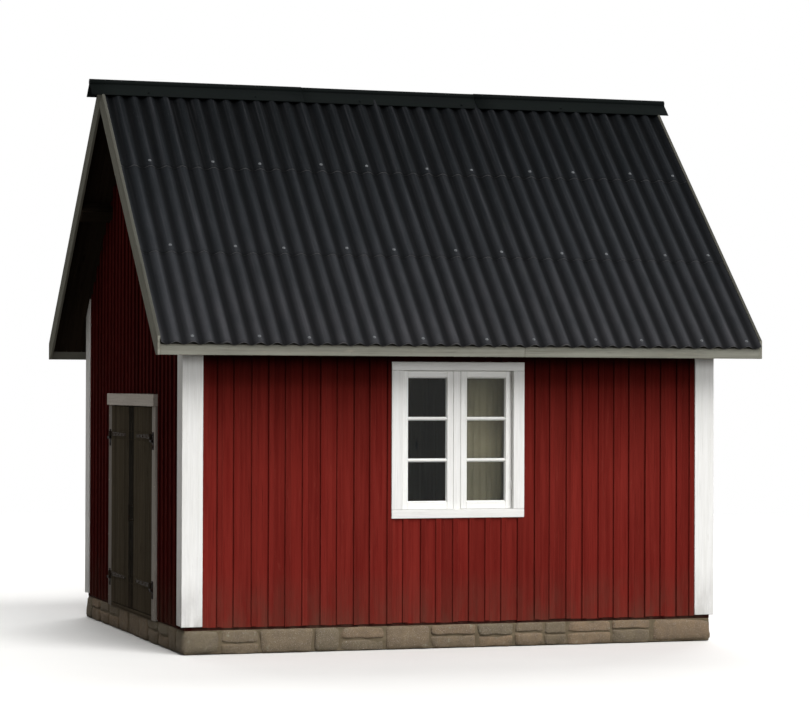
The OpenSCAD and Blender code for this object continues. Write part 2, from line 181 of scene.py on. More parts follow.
def anticlockwise(outline):
    turned = zip(outline, outline[1:] + outline[:1])
    area = sum(a[0] * b[1] - b[0] * a[1] for a, b in turned)
    return [Vector(p) for p in (outline if area > 0 else outline[::-1])]


def neighbours(outline):
    return zip(outline[-1:] + outline[:-1], outline, outline[1:] + outline[:1])


def inset(outline, distance):
    """An anticlockwise outline, moved inwards by a distance."""
    moved = []
    for before, here, after in neighbours(outline):
        one = (here - before).normalized()
        two = (after - here).normalized()
        one = Vector((-one.y, one.x))
        two = Vector((-two.y, two.x))
        moved.append(here + (one + two) * distance / (1 + one.dot(two)))
    return moved


def cut_corners(outline, distance):
    cut = []
    for before, here, after in neighbours(outline):
        cut.append(here + (before - here).normalized() * distance)
        cut.append(here + (after - here).normalized() * distance)
    return cut


def tube_faces(count, levels):
    """Faces of a tube made of rings of points: its two ends, and then its bands from the first ring on."""
    faces = [list(range(count)), [(levels - 1) * count + i for i in range(count)]]
    for level in range(levels - 1):
        for i in range(count):
            here = level * count + i
            after = level * count + (i + 1) % count
            faces.append([here, after, count + after, count + here])
    return faces


class Piece:
    """The mesh of one piece while it is made. Each point keeps its place in its own board as grain, and a
    mark: how high on a wave it lies, or how much darker its board is made. Each face keeps its board's tone,
    and edge is 1 on the narrow faces along an arris."""

    def __init__(self, name):
        self.name = name
        self.chance = random.Random(name)
        self.points = []
        self.faces = []
        self.grain = []
        self.mark = []
        self.tone = []
        self.edge = []
        self.smooth = []

    def add(self, points, faces, along=UP, tone=None, edges=(), smooth=(), mark=None):
        """A closed shape. edges and smooth are the numbers of its narrow faces and of its curved ones."""
        first = len(self.points)
        turn = Vector(along).to_track_quat("X", "Z").inverted().to_matrix()
        place = Vector([self.chance.uniform(-9, 9) for axis in range(3)])
        self.points += [tuple(p) for p in points]
        self.grain += [turn @ Vector(p) + place for p in points]
        self.mark += mark or [0.0] * len(points)
        self.faces += [[first + i for i in face] for face in faces]
        tone = self.chance.random() if tone is None else tone
        self.tone += [tone] * len(faces)
        self.edge += [float(i in edges) for i in range(len(faces))]
        self.smooth += [i in smooth for i in range(len(faces))]

    def slab(self, outline, near, far, axis, along, chamfer=0.003, corners=True, tone=None, darkening=0.0):
        """A flat outline given thickness along x, y or z, with narrow chamfers. corners also takes the
        outline's own corners off. The outline's numbers are those of the other two axes, in order."""
        flat = anticlockwise(outline)
        if corners:
            flat = cut_corners(flat, chamfer)
        inner = inset(flat, chamfer)
        near, far = sorted((near, far))
        rings = [(inner, near), (flat, near + chamfer), (flat, far - chamfer), (inner, far)]
        order = {"x": (2, 0, 1), "y": (0, 2, 1), "z": (0, 1, 2)}[axis]
        points = [[(p.x, p.y, depth)[i] for i in order] for ring, depth in rings for p in ring]
        count = len(flat)
        bands = [(level, i) for level in range(3) for i in range(count)]
        edges = {2 + n for n, (level, i) in enumerate(bands) if level != 1 or (corners and i % 2 == 0)}
        self.add(points, tube_faces(count, 4), along, tone, edges, (), [darkening] * len(points))

    def turned(self, profile, start, direction, sides=12, tone=None, smooth=True):
        """A round shape from a profile of distances along the direction and radii."""
        turn = Vector(direction).normalized().to_track_quat("Z", "Y").to_matrix()
        points = []
        for distance, radius in profile:
            for i in range(sides):
                angle = 2 * math.pi * i / sides
                spoke = Vector((radius * math.cos(angle), radius * math.sin(angle), distance))
                points.append(Vector(start) + turn @ spoke)
        faces = tube_faces(sides, len(profile))
        self.add(points, faces, direction, tone, (), range(2, len(faces)) if smooth else ())

    def skin(self, over, under, columns, along, mark=None):
        """A thin sheet between two grids of points, closed along its four sides."""
        count = len(over)
        rows = count // columns
        faces = []
        for row in range(rows - 1):
            for column in range(columns - 1):
                i = row * columns + column
                face = [i, i + 1, i + columns + 1, i + columns]
                faces += [face, [count + j for j in face[::-1]]]
        curved = range(len(faces))
        rim = list(range(columns))
        rim += [row * columns + columns - 1 for row in range(1, rows)]
        rim += [(rows - 1) * columns + column for column in range(columns - 2, -1, -1)]
        rim += [row * columns for row in range(rows - 2, 0, -1)]
        faces += [[a, b, count + b, count + a] for a, b in zip(rim, rim[1:] + rim[:1])]
        narrow = range(len(curved), len(faces))
        self.add(over + under, faces, along, None, narrow, curved, (mark or [0.0] * count) * 2)

    def done(self, material, body="house", replaces=()):
        mesh = bpy.data.meshes.new(self.name)
        mesh.from_pydata(self.points, [], self.faces)
        mesh.polygons.foreach_set("use_smooth", self.smooth)
        values = mesh.attributes.new("grain", "FLOAT_VECTOR", "POINT")
        values.data.foreach_set("vector", [number for point in self.grain for number in point])
        for name, domain in (("mark", "POINT"), ("tone", "FACE"), ("edge", "FACE")):
            mesh.attributes.new(name, "FLOAT", domain).data.foreach_set("value", getattr(self, name))
        work = bmesh.new()
        work.from_mesh(mesh)
        bmesh.ops.recalc_face_normals(work, faces=work.faces)
        work.to_mesh(mesh)
        work.free()
        mesh.materials.append(material)
        piece = bpy.data.objects.new(self.name, mesh)
        bpy.context.scene.collection.objects.link(piece)
        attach(piece, body)
        if replaces:
            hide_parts(*replaces)
        return piece


def nail(piece, point, direction, radius=0.0045, tone=None):
    profile = [(-0.002, radius), (0.0004, radius), (radius * 0.35, radius * 0.6)]
    piece.turned(profile, point, direction, 7, tone)


def bolt(piece, point, direction, radius):
    profile = [(-0.002, radius), (0.001, radius), (radius * 0.4, radius * 0.8), (radius * 0.6, radius * 0.35)]
    piece.turned(profile, point, direction)


def roof_screw(piece, point, direction):
    washer = [(-0.003, 0.013), (0.0012, 0.0135), (0.003, 0.0115)]
    head = [(0.0032, 0.0068), (0.008, 0.0064), (0.009, 0.004)]
    piece.turned(washer + head, point, direction, 10, None, False)


# Materials


def srgb(red, green, blue):
    """A colour as a picture gives it, from 0 to 255, in the linear values that Blender takes."""
    linear = []
    for value in (red, green, blue):
        value /= 255
        linear.append(value / 12.92 if value <= 0.04045 else ((value + 0.055) / 1.055) ** 2.4)
    return (*linear, 1.0)


def scaled(colour, factor):
    return tuple(factor * value for value in colour[:3]) + (1.0,)


class Nodes:
    """The nodes of a material or of the world."""

    def __init__(self, owner):
        owner.use_nodes = True
        self.tree = owner.node_tree

    def feed(self, socket, value):
        if isinstance(value, bpy.types.NodeSocket):
            self.tree.links.new(value, socket)
        else:
            socket.default_value = value

    def put(self, node, values):
        """Each name is a socket's, with underscores for spaces, or a setting's."""
        for name, value in values.items():
            if name[0].isupper():
                self.feed(node.inputs[name.replace("_", " ")], value)
            else:
                setattr(node, name, value)

    def add(self, kind, *inputs, output=0, **values):
        """A new node's output. The inputs come in the order of its sockets, and the values as in put."""
        node = self.tree.nodes.new("ShaderNode" + kind)
        for socket, value in zip(node.inputs, inputs):
            self.feed(socket, value)
        self.put(node, values)
        return node.outputs[output]

    def place(self):
        return self.add("TexCoord", output="Object")

    def coordinate(self, axis):
        """How far along X, Y or Z the place lies."""
        return self.add("SeparateXYZ", self.place(), output=axis)

    def spread(self, value, start, end, least=0.0, most=1.0):
        """The least where the value is at start or before it, and the most from end on."""
        return self.add("MapRange", value, start, end, least, most)

    def cloud(self, where, scale, start=0.35, end=0.65, detail=4.0, rough=0.6):
        """Noise with its own scale along each axis, from 0 to 1."""
        where = self.add("Mapping", Vector=where, Scale=scale)
        value = self.add("TexNoise", Vector=where, Scale=1.0, Detail=detail, Roughness=rough)
        return self.spread(value, start, end)

    def times(self, one, two):
        return self.add("Math", one, two, operation="MULTIPLY")

    def plus(self, one, two):
        return self.add("Math", one, two, operation="ADD")

    def blend(self, amount, under, over, blend_type="MIX"):
        return self.add("MixRGB", amount, under, over, blend_type=blend_type)

    def cover(self, under, mask, amount, over):
        """A colour over another, by a mask times an amount."""
        return self.blend(self.times(mask, amount), under, over)

    def brightness(self, colour, amount, least, most, start=0.0, end=1.0):
        """A colour made darker or paler as the amount goes from start to end."""
        return self.add("HueSaturation", Value=self.spread(amount, start, end, least, most), Color=colour)

    def seen(self):
        """1 for what the camera sees, straight, mirrored or through glass."""
        straight, through, mirrored = [
            self.add("LightPath", output=f"Is {kind} Ray") for kind in ("Camera", "Transmission", "Glossy")
        ]
        return self.spread(self.plus(self.plus(straight, through), mirrored), 0.0, 1.0)


class Look(Nodes):
    """A material. value gives one of the values that Piece keeps."""

    def __init__(self, name, **shader):
        self.material = bpy.data.materials.new(name)
        super().__init__(self.material)
        self.shader = self.tree.nodes["Principled BSDF"]
        self.put(self.shader, shader)

    def value(self, name):
        return self.add("Attribute", output="Vector" if name == "grain" else "Fac", attribute_name=name)

    def finish(self, colour, rough, relief, depth):
        """rough is a mask, with the roughness where it is 0 and where it is 1."""
        mask, least, most = rough
        values = {"Base_Color": colour, "Roughness": self.spread(mask, 0.0, 1.0, least, most)}
        values["Normal"] = self.add("Bump", Height=relief, Distance=depth, Strength=1.0)
        self.put(self.shader, values)
        return self.material

    def mix(self, amount, other):
        """Another shader over this one, by an amount."""
        both = self.add("MixShader", amount, self.shader.outputs[0], other)
        self.tree.links.new(both, self.tree.nodes["Material Output"].inputs["Surface"])
        return self.material


def timber(
    name, colour, streak, worn, streaks=0.7, wear=0.3, tones=(0.86, 1.12), dirt=0.0, rough=(0.75, 0.95),
    cracks=0.5, knots=0.0, turn=None, shine=0.02, relief=0.0012, painted_eaves_shade=False, upward_darkening=0.0
):
    """Painted or bare wood. Its grain follows each board, or on a solid the axis that turn brings to X."""
    look = Look(name, Specular_IOR_Level=shine)
    place = look.place()
    grain = look.value("grain") if turn is None else look.add("Mapping", Vector=place, Rotation=turn)
    long_streaks = look.cloud(grain, (1.1, 34, 34), 0.38, 0.68, 5.0, 0.62)
    fine = look.cloud(grain, (5, 230, 230), 0.3, 0.7, 3.0, 0.7)
    crack = look.cloud(grain, (2.2, 330, 330), 0.66, 0.72, 2.0, 0.5)
    patch = look.cloud(place, (1.7, 1.7, 1.1), 0.35, 0.7, 3.0, 0.55)
    shade = look.cover(colour, long_streaks, streaks, streak)
    shade = look.cover(shade, patch, 0.35 * streaks, streak)
    shade = look.brightness(shade, look.value("tone"), *tones)
    shade = look.brightness(shade, fine, 0.93, 1.06)
    # The mark makes a board darker, towards nearly black.
    shade = look.cover(shade, look.value("mark"), 0.93, scaled(streak, 0.12))
    flake = look.cloud(grain, (6, 42, 42), 0.60, 0.66, 6.0, 0.75)
    chipped = look.times(look.value("edge"), look.cloud(grain, (9, 60, 60), 0.42, 0.55, 5.0, 0.7))
    shade = look.cover(shade, look.plus(look.times(flake, 0.6), chipped), wear, worn)
    if knots:
        where = look.add("Mapping", Vector=grain, Scale=(2.3, 8.5, 8.5))
        spot = look.add("TexVoronoi", Vector=where, Scale=1.0)
        shade = look.blend(look.spread(spot, 0.05, 0.17, knots, 0.0), shade, scaled(streak, 0.35))
    shade = look.cover(shade, crack, cracks, scaled(streak, 0.3))
    if dirt:
        splash = look.spread(look.coordinate("Z"), PLINTH_H, PLINTH_H + 0.45, 1.0, 0.0)
        ragged = look.cloud(place, (9, 9, 3), 0.3, 0.7)
        shade = look.cover(shade, look.times(splash, ragged), dirt, srgb(78, 66, 54))
    # Faces that look up are made darker.
    if upward_darkening:
        facing_up = look.add("SeparateXYZ", look.add("NewGeometry", output="Normal"), output="Z")
        shade = look.cover(shade, look.spread(facing_up, 0.35, 0.6), upward_darkening, srgb(52, 52, 48))
    # The boards are made darker towards the fascia in two steps: painted shade under the eaves.
    if painted_eaves_shade:
        for start, end, least in ((0.95, 0.23, 0.62), (0.26, 0.02, 0.22)):
            height = look.coordinate("Z")
            shade = look.brightness(shade, height, 1.0, least, FASCIA_LOW - start, FASCIA_LOW - end)
    bumps = look.plus(look.times(fine, 0.6), look.times(long_streaks, 0.4))
    return look.finish(shade, (fine, *rough), look.plus(bumps, look.times(crack, -0.8)), relief)


def fibre_cement():
    look = Look("fibre_cement", Specular_IOR_Level=0.03)
    grain = look.value("grain")
    mottle = look.cloud(grain, (3.5, 9, 9), 0.35, 0.68, 6.0, 0.65)
    shade = look.blend(mottle, srgb(31, 32, 34), srgb(41, 41, 43))
    shade = look.brightness(shade, look.value("tone"), 0.9, 1.1)
    # Darker and bluer towards the ridge: painted shade.
    upper = look.spread(look.coordinate("Z"), EAVE_Z, RIDGE_Z)
    painted_ridge_shade = look.spread(upper, 0.0, 1.0, 1.21, 0.45)
    shade = look.add("HueSaturation", Value=look.times(painted_ridge_shade, painted_ridge_shade), Color=shade)
    shade = look.blend(upper, shade, (0.84, 1.0, 1.08, 1.0), "MULTIPLY")
    run = look.cloud(grain, (0.9, 60, 60), 0.5, 0.75, 4.0, 0.6)
    shade = look.cover(shade, run, 0.35, srgb(58, 58, 61))
    speck = look.cloud(grain, (150, 150, 150), 0.66, 0.74, 2.0, 0.5)
    shade = look.cover(shade, speck, 0.35, srgb(88, 89, 86))
    moss = look.cloud(grain, (5, 14, 14), 0.63, 0.74, 8.0, 0.7)
    shade = look.cover(shade, moss, 0.3, srgb(44, 47, 38))
    # Paler cut edges: partly the raw sheet, partly painted light against the shade on edges that face down
    # the slope.
    shade = look.cover(shade, look.value("edge"), 0.8, srgb(104, 104, 105))
    # Darker troughs and paler crests: painted shade in the troughs, with some dirt there, and a painted
    # highlight on the crests.
    shade = look.brightness(shade, look.value("mark"), 0.30, 1.4, 0.1, 0.9)
    grit = look.cloud(grain, (420, 420, 420), 0.3, 0.7, 2.0, 0.6)
    return look.finish(shade, (mottle, 0.62, 0.82), look.plus(grit, mottle), 0.0004)


def painted_steel():
    look = Look("painted_steel", Specular_IOR_Level=0.03)
    place = look.place()
    dull = look.cloud(place, (2.2, 12, 12), 0.35, 0.7, 5.0, 0.6)
    spots = look.cloud(place, (70, 70, 70), 0.68, 0.75, 3.0, 0.6)
    shade = look.blend(dull, srgb(11, 14, 14), srgb(16, 20, 19))
    shade = look.cover(shade, spots, 0.4, srgb(58, 46, 38))
    return look.finish(shade, (dull, 0.6, 0.78), look.plus(dull, spots), 0.0004)


def zinc():
    look = Look("zinc", Metallic=0.5, Specular_IOR_Level=0.2)
    bloom = look.cloud(look.place(), (90, 90, 90), 0.35, 0.65, 4.0, 0.6)
    shade = look.blend(bloom, srgb(84, 87, 90), srgb(118, 121, 123))
    return look.finish(shade, (bloom, 0.4, 0.65), bloom, 0.0002)


def iron(name, rusty, *colours):
    look = Look(name, Specular_IOR_Level=0.03)
    place = look.place()
    pitted = look.cloud(place, (160, 160, 160), 0.35, 0.7, 5.0, 0.65)
    rust = look.cloud(place, (34, 34, 34), 0.5, 0.66, 7.0, 0.7)
    shade = look.blend(pitted, *colours)
    shade = look.cover(shade, rust, rusty, look.blend(pitted, srgb(56, 36, 26), srgb(78, 50, 34)))
    return look.finish(shade, (rust, 0.62, 0.92), look.plus(pitted, rust), 0.0006)


def granite():
    """Stones, and the mortar behind them, whose tone is below 0."""
    look = Look("granite", Specular_IOR_Level=0.08)
    grain = look.value("grain")
    place = look.place()
    tone = look.value("tone")
    large = look.cloud(grain, (14, 14, 14), 0.35, 0.68, 6.0, 0.65)
    dark = look.cloud(grain, (260, 260, 260), 0.58, 0.64, 2.0, 0.6)
    pale = look.cloud(grain, (210, 230, 190), 0.60, 0.66, 2.0, 0.6)
    lichen = look.cloud(place, (11, 11, 11), 0.60, 0.68, 8.0, 0.7)
    body = look.blend(look.spread(tone, 0.0, 1.0), srgb(112, 103, 85), srgb(133, 113, 90))
    body = look.cover(body, large, 0.5, srgb(98, 88, 78))
    body = look.cover(body, dark, 0.65, srgb(62, 59, 57))
    body = look.cover(body, pale, 0.5, srgb(196, 184, 174))
    body = look.cover(body, lichen, 0.5, srgb(152, 152, 134))
    mortar = look.blend(large, srgb(112, 101, 82), srgb(93, 82, 66))
    colour = look.blend(look.spread(tone, -0.2, -0.1), mortar, body)
    soil = look.spread(look.coordinate("Z"), 0.0, 0.09, 0.75, 0.0)
    colour = look.cover(colour, soil, look.cloud(place, (7, 7, 16), 0.3, 0.65), srgb(66, 60, 48))
    return look.finish(colour, (dark, 0.78, 0.95), look.plus(look.times(large, 2.0), pale), 0.0012)


def linen():
    """Paler towards its right edge, painted light against the jamb's shadow there; darker at its foot; and
    darker at its head, painted shade under the eaves.
    """
    look = Look("linen", Specular_IOR_Level=0.06, Sheen_Weight=0.3, Sheen_Roughness=0.5)
    grain = look.value("grain")
    weave = {"Vector": grain, "Scale": 220.0, "Distortion": 1.2}
    threads = [look.add("TexWave", bands_direction=way, **weave) for way in ("X", "Y")]
    slub = look.cloud(grain, (160, 5, 160), 0.45, 0.7, 3.0, 0.6)
    shade = look.blend(slub, srgb(122, 110, 93), srgb(108, 97, 81))
    shade = look.cover(shade, look.cloud(grain, (4, 4, 4)), 0.35, srgb(96, 85, 72))
    foot, head = low("window_curtain").z, high("window_curtain").z
    # Painted light at the right edge, against the jamb's shadow; painted shade at the head, under the eaves;
    # a darker foot.
    for axis, start, end, factor in (
        ("X", CLOTH_RIGHT - 0.13, CLOTH_RIGHT, 1.6),
        ("Z", foot + 0.55, foot + 0.42, 0.70),
        ("Z", head - 0.55, head - 0.35, 0.72),
    ):
        shade = look.brightness(shade, look.coordinate(axis), 1.0, factor, start, end)
    return look.finish(shade, (slub, 0.85, 0.97), look.blend(0.5, *threads), 0.0004)


def pane_glass():
    """Old window glass. Light from the lamps passes it, so that the room behind isn't black."""
    look = Look("pane_glass", Transmission_Weight=1.0, IOR=1.23, Roughness=0.015)
    ripple = look.cloud(look.place(), (5, 5, 3.2), 0.2, 0.8, 1.0, 0.4)
    tint = look.blend(ripple, srgb(226, 234, 229), srgb(233, 239, 234))
    bump = look.add("Bump", Height=ripple, Distance=0.0016, Strength=1.0)
    look.put(look.shader, {"Base_Color": tint, "Normal": bump})
    clear = look.add("BsdfTransparent", Color=srgb(196, 200, 197))
    return look.mix(look.add("LightPath", output="Is Shadow Ray"), clear)


UPRIGHT = (0, math.pi / 2, 0)
RED = dict(
    colour=srgb(115, 37, 31), streak=srgb(92, 23, 19), worn=srgb(130, 60, 50), streaks=0.75, wear=0.35,
    tones=(0.84, 1.12), dirt=0.45, rough=(0.86, 0.98)
)
# The same red made darker for the gable with the doors: painted shade.
PAINTED_SHADE_RED = dict(RED, colour=srgb(67, 17, 15), streak=srgb(50, 10, 9), shine=0.01)
# A darker red for the wall solids, seen only in the joints and under the boards' feet: painted shade in those
# recesses.
RECESS_SHADE_RED = dict(RED, colour=srgb(52, 14, 12), streak=srgb(36, 10, 9))
WHITE = dict(
    colour=srgb(239, 239, 237), streak=srgb(220, 220, 215), worn=srgb(158, 150, 136), streaks=0.5, wear=0.22,
    tones=(0.95, 1.03), cracks=0.25, rough=(0.5, 0.7), shine=0.07, relief=0.0006
)
BARE = dict(streaks=0.8, tones=(0.8, 1.18), knots=0.8, cracks=0.6, shine=0.006)

red_boards = timber("red_distemper", **RED)
# Red boards with painted shade under the eaves, for the two eaves walls.
red_painted_eaves_shade = timber("red_distemper_painted_eaves_shade", painted_eaves_shade=True, **RED)
red_painted_shade = timber("red_distemper_painted_shade", **PAINTED_SHADE_RED)
red_wall = timber("red_distemper_wall_painted_shade", turn=UPRIGHT, **RECESS_SHADE_RED)
white_paint = timber("white_paint", dirt=0.5, **WHITE)
white_window = timber("white_window_paint", **WHITE)
grey_paint = timber(
    "weathered_grey_paint", srgb(138, 138, 128), srgb(110, 109, 99), srgb(150, 143, 128), wear=0.5,
    tones=(0.92, 1.08), cracks=0.6, upward_darkening=0.8
)
pale_paint = timber(
    "weathered_pale_paint", srgb(224, 217, 208), srgb(196, 188, 178), srgb(140, 130, 117), wear=0.7,
    tones=(0.92, 1.05), dirt=0.6
)
door_wood = timber(
    "weathered_planks", srgb(84, 76, 62), srgb(55, 48, 38), srgb(122, 113, 97), dirt=0.5, **BARE
)
# Aged wood made darker still: painted shade in the soffits under the eaves and verges.
roof_wood = timber("roof_boards_wood", srgb(50, 42, 34), srgb(32, 26, 20), srgb(70, 60, 49), **BARE)
purlin_wood = timber(
    "purlin_wood", srgb(54, 46, 37), srgb(35, 29, 23), srgb(72, 62, 50), turn=(0, 0, 0), **BARE
)
lining_wood = timber("lining_wood", srgb(132, 110, 84), srgb(100, 80, 58), srgb(146, 126, 100), **BARE)
floor_wood = timber("floor_wood", srgb(120, 104, 84), srgb(86, 72, 56), srgb(138, 124, 104), **BARE)
roof_cement = fibre_cement()
ridge_steel = painted_steel()
screw_zinc = zinc()
black_iron = iron("black_iron", 0.7, srgb(24, 22, 21), srgb(38, 35, 33))
worn_iron = iron("worn_iron", 0.5, srgb(42, 37, 31), srgb(55, 49, 41))
stone = granite()
curtain_linen = linen()
glass = pane_glass()


def dress(material, *nodes):
    """A CAD node that stays gets its material."""
    for node in nodes:
        mesh = frame["nodes"][node].data
        mesh.materials.clear()
        mesh.materials.append(material)


# The wall solids' darker red is painted shade in the joints and under the boards.
dress(red_wall, "front_wall", "back_wall", "right_wall", "left_wall_front", "left_wall_back", "left_gable")
dress(purlin_wood, "purlins")
dress(worn_iron, "front_door_ironwork", "back_door_ironwork")
dress(black_iron, "door_pintles")


# Walls


def wide_enough(outline):
    across, up = zip(*outline)
    return max(across) - min(across) > 0.012 and max(up) - min(up) > 0.02


def upright(left, right, foot, top, hole):
    """Outlines of an upright board between two places across the wall. top gives its head's height at a
    place, and the board is cut round the hole, if there is one. Slivers are left out."""
    head = [(right, top(right)), (left, top(left))]
    if left < 0 < right and top(0) > max(top(left), top(right)) + 0.001:
        head.insert(1, (0.0, top(0)))
    start, end, bottom, above = hole or (right, right, 0, 0)
    if right <= start or left >= end:
        parts = [[(left, foot), (right, foot)] + head]
    elif left >= start and right <= end:
        parts = [[(left, above), (right, above)] + head]
        parts.append(rectangle(left, right, foot, max(foot, bottom)))
    elif left < start:
        under = [(right, foot), (right, bottom), (start, bottom)] if bottom > foot else [(start, foot)]
        parts = [[(left, foot)] + under + [(start, above), (right, above)] + head]
    else:
        under = [(end, bottom), (left, bottom), (left, foot)] if bottom > foot else [(end, foot)]
        parts = [head + [(left, above), (end, above)] + under + [(right, foot)]]
    return filter(wide_enough, parts)


def on_wall(axis, across, depth, height):
    """A point on a wall that faces along the axis."""
    return (across, depth, height) if axis == "y" else (depth, across, height)


def cladding(name, axis, outward, reach, top, hole=None, paint=red_boards):
    """Red boards and battens on one wall, from the plinth up to the roof boards."""
    piece = Piece(name)
    chance = piece.chance
    face = outward * (WALL_X if axis == "x" else WALL_Y)
    aim = on_wall(axis, 0, outward, 0)
    count = round(2 * reach / BOARD_PITCH)
    step = 2 * reach / count
    joints = [-reach + step * i for i in range(count + 1)]
    joints[1:-1] = [joint + chance.uniform(-0.005, 0.005) for joint in joints[1:-1]]
    for left, right in zip(joints, joints[1:]):
        foot = PLINTH_H + BOARD_LIFT + chance.uniform(-0.006, 0.004)
        out = BOARD_FACE + chance.uniform(-0.0015, 0.0015)
        for outline in upright(left + 0.0012, right - 0.0012, foot, top, hole):
            piece.slab(outline, face - 0.003 * outward, face + out * outward, axis, UP, 0.0014, False)
    ends = [-reach + BATTEN_W / 2, *joints[1:-1], reach - BATTEN_W / 2]
    for joint in ends:
        middle = joint + chance.uniform(-0.003, 0.003) * (joint not in (ends[0], ends[-1]))
        half = (BATTEN_W + chance.uniform(-0.002, 0.002)) / 2
        foot = PLINTH_H + BOARD_LIFT + chance.uniform(-0.008, 0.004)
        near = face + (BOARD_FACE - 0.002) * outward
        far = face + (BATTEN_FACE + chance.uniform(-0.002, 0.001)) * outward
        tone = chance.random()
        for outline in upright(middle - half, middle + half, foot, top, hole):
            piece.slab(outline, near, far, axis, UP, 0.0028, False, tone)
            heights = [p[1] for p in outline]
            up = min(heights) + 0.07
            while up < min(top(middle), max(heights)) - 0.05:
                nail(piece, on_wall(axis, middle + chance.uniform(-0.006, 0.006), far, up), aim, 0.004, tone)
                up += 0.52 + chance.uniform(-0.02, 0.02)
    piece.done(paint)


def eaves_top(x):
    return soffit_z(WALL_Y + TRIM_T) - 0.003


def gable_top(y):
    return soffit_z(y) - 0.003


# The eaves walls' boards carry painted shade under the eaves.
cladding("front_cladding", "y", -1, CORNER_IN_X, eaves_top, WINDOW_HOLE, red_painted_eaves_shade)
cladding("back_cladding", "y", 1, CORNER_IN_X, eaves_top, None, red_painted_eaves_shade)
# The gable with the doors has the darker red: painted shade.
cladding("left_cladding", "x", -1, CORNER_IN_Y, gable_top, DOOR_HOLE, red_painted_shade)
cladding("right_cladding", "x", 1, CORNER_IN_Y, gable_top)


def lining(name, axis, outward, reach, top, hole=None):
    """Bare upright boards on a wall's inner face."""
    piece = Piece(name)
    face = outward * (ROOM_X if axis == "x" else ROOM_Y)
    count = round(2 * reach / LINING_PITCH)
    step = 2 * reach / count
    for i in range(count):
        left = -reach + step * i
        out = LINING_T + piece.chance.uniform(-0.001, 0.001)
        for outline in upright(left + JOINT, left + step - JOINT, FLOOR_Z, top, hole):
            piece.slab(outline, face + 0.001 * outward, face - out * outward, axis, UP, 0.0016, False)
    piece.done(lining_wood)


def inner_eaves_top(x):
    return soffit_z(ROOM_Y) - 0.002


lining("front_lining", "y", -1, ROOM_X, inner_eaves_top, WINDOW_FRAME_HOLE)
lining("back_lining", "y", 1, ROOM_X, inner_eaves_top)
lining("left_lining", "x", -1, ROOM_Y, gable_top, DOOR_FRAME_HOLE)
lining("right_lining", "x", 1, ROOM_Y, gable_top)


def corner_boards(node, side_x, side_y):
    """Two boards on a corner, as the solid has them."""
    piece = Piece(node + "_wood")
    foot = low(node).z
    face_x, face_y = WALL_X + TRIM_T, WALL_Y + TRIM_T
    behind = WALL_Y - 0.0006
    wall_top = soffit_z(WALL_Y) - SEAT
    front = [(face_y, foot), (WALL_Y, foot), (WALL_Y, wall_top), (face_y, soffit_z(face_y) - SEAT)]
    side = [
        (behind, foot + 0.004), (CORNER_IN_Y, foot + 0.004),
        (CORNER_IN_Y, soffit_z(CORNER_IN_Y) - SEAT), (behind, wall_top),
    ]
    for outline, start in ((front, CORNER_IN_X), (side, WALL_X)):
        piece.slab([(side_y * y, z) for y, z in outline], side_x * start, side_x * face_x, "x", UP)
    height = foot + 0.09
    while height < soffit_z(face_y) - 0.06:
        for x, y, aim in (
            (face_x - 0.03, face_y, (0, side_y, 0)), (face_x - 0.13, face_y, (0, side_y, 0)),
            (face_x, CORNER_IN_Y + 0.045, (side_x, 0, 0)),
        ):
            nail(piece, (side_x * x, side_y * y, height + piece.chance.uniform(-0.01, 0.01)), aim, 0.005)
        height += 0.46
    piece.done(white_paint, replaces=(node,))


CORNERS = [
    (end, face, side_x, side_y)
    for end, side_x in (("left", -1), ("right", 1)) for face, side_y in (("front", -1), ("back", 1))
]
for end, face, side_x, side_y in CORNERS:
    corner_boards(f"{face}_{end}_corner_boards", side_x, side_y)


# Plinth and floor


def block_grid(cuts):
    """Points and faces of a cube from -1 to 1 with a grid on each face."""
    work = bmesh.new()
    bmesh.ops.create_cube(work, size=2)
    bmesh.ops.subdivide_edges(work, edges=work.edges, cuts=cuts, use_grid_fill=True)
    work.verts.index_update()
    points = [v.co.copy() for v in work.verts]
    faces = [[v.index for v in face.verts] for face in work.faces]
    work.free()
    return points, faces


GRID_POINTS, GRID_FACES = block_grid(6)
# Without a seed the noise on the stones would differ from run to run
noise.seed_set(1)


def boulder(piece, start, end, tone):
    """A rough block of stone between two corners, with rounded arrises and an uneven face."""
    chance = piece.chance
    middle = (start + end) / 2
    half = (end - start) / 2
    power = chance.uniform(7.0, 13.0)
    seed = Vector([chance.uniform(-50, 50) for axis in range(3)])
    lean = [chance.uniform(-0.06, 0.06) for axis in range(2)]
    points = []
    for p in GRID_POINTS:
        size = sum(abs(value) ** power for value in p) ** (1 / power)
        q = Vector([value / size for value in p])
        q.x *= 1 + lean[0] * q.z
        q.y *= 1 + lean[1] * q.z
        spot = Vector([middle[i] + half[i] * q[i] for i in range(3)])
        spot += noise.noise_vector(spot * 9 + seed) * 0.012 + noise.noise_vector(spot * 31 + seed) * 0.005
        points.append([min(max(spot[i], start[i]), end[i]) for i in range(3)])
    piece.add(points, GRID_FACES, ALONG, tone, (), range(len(GRID_FACES)))


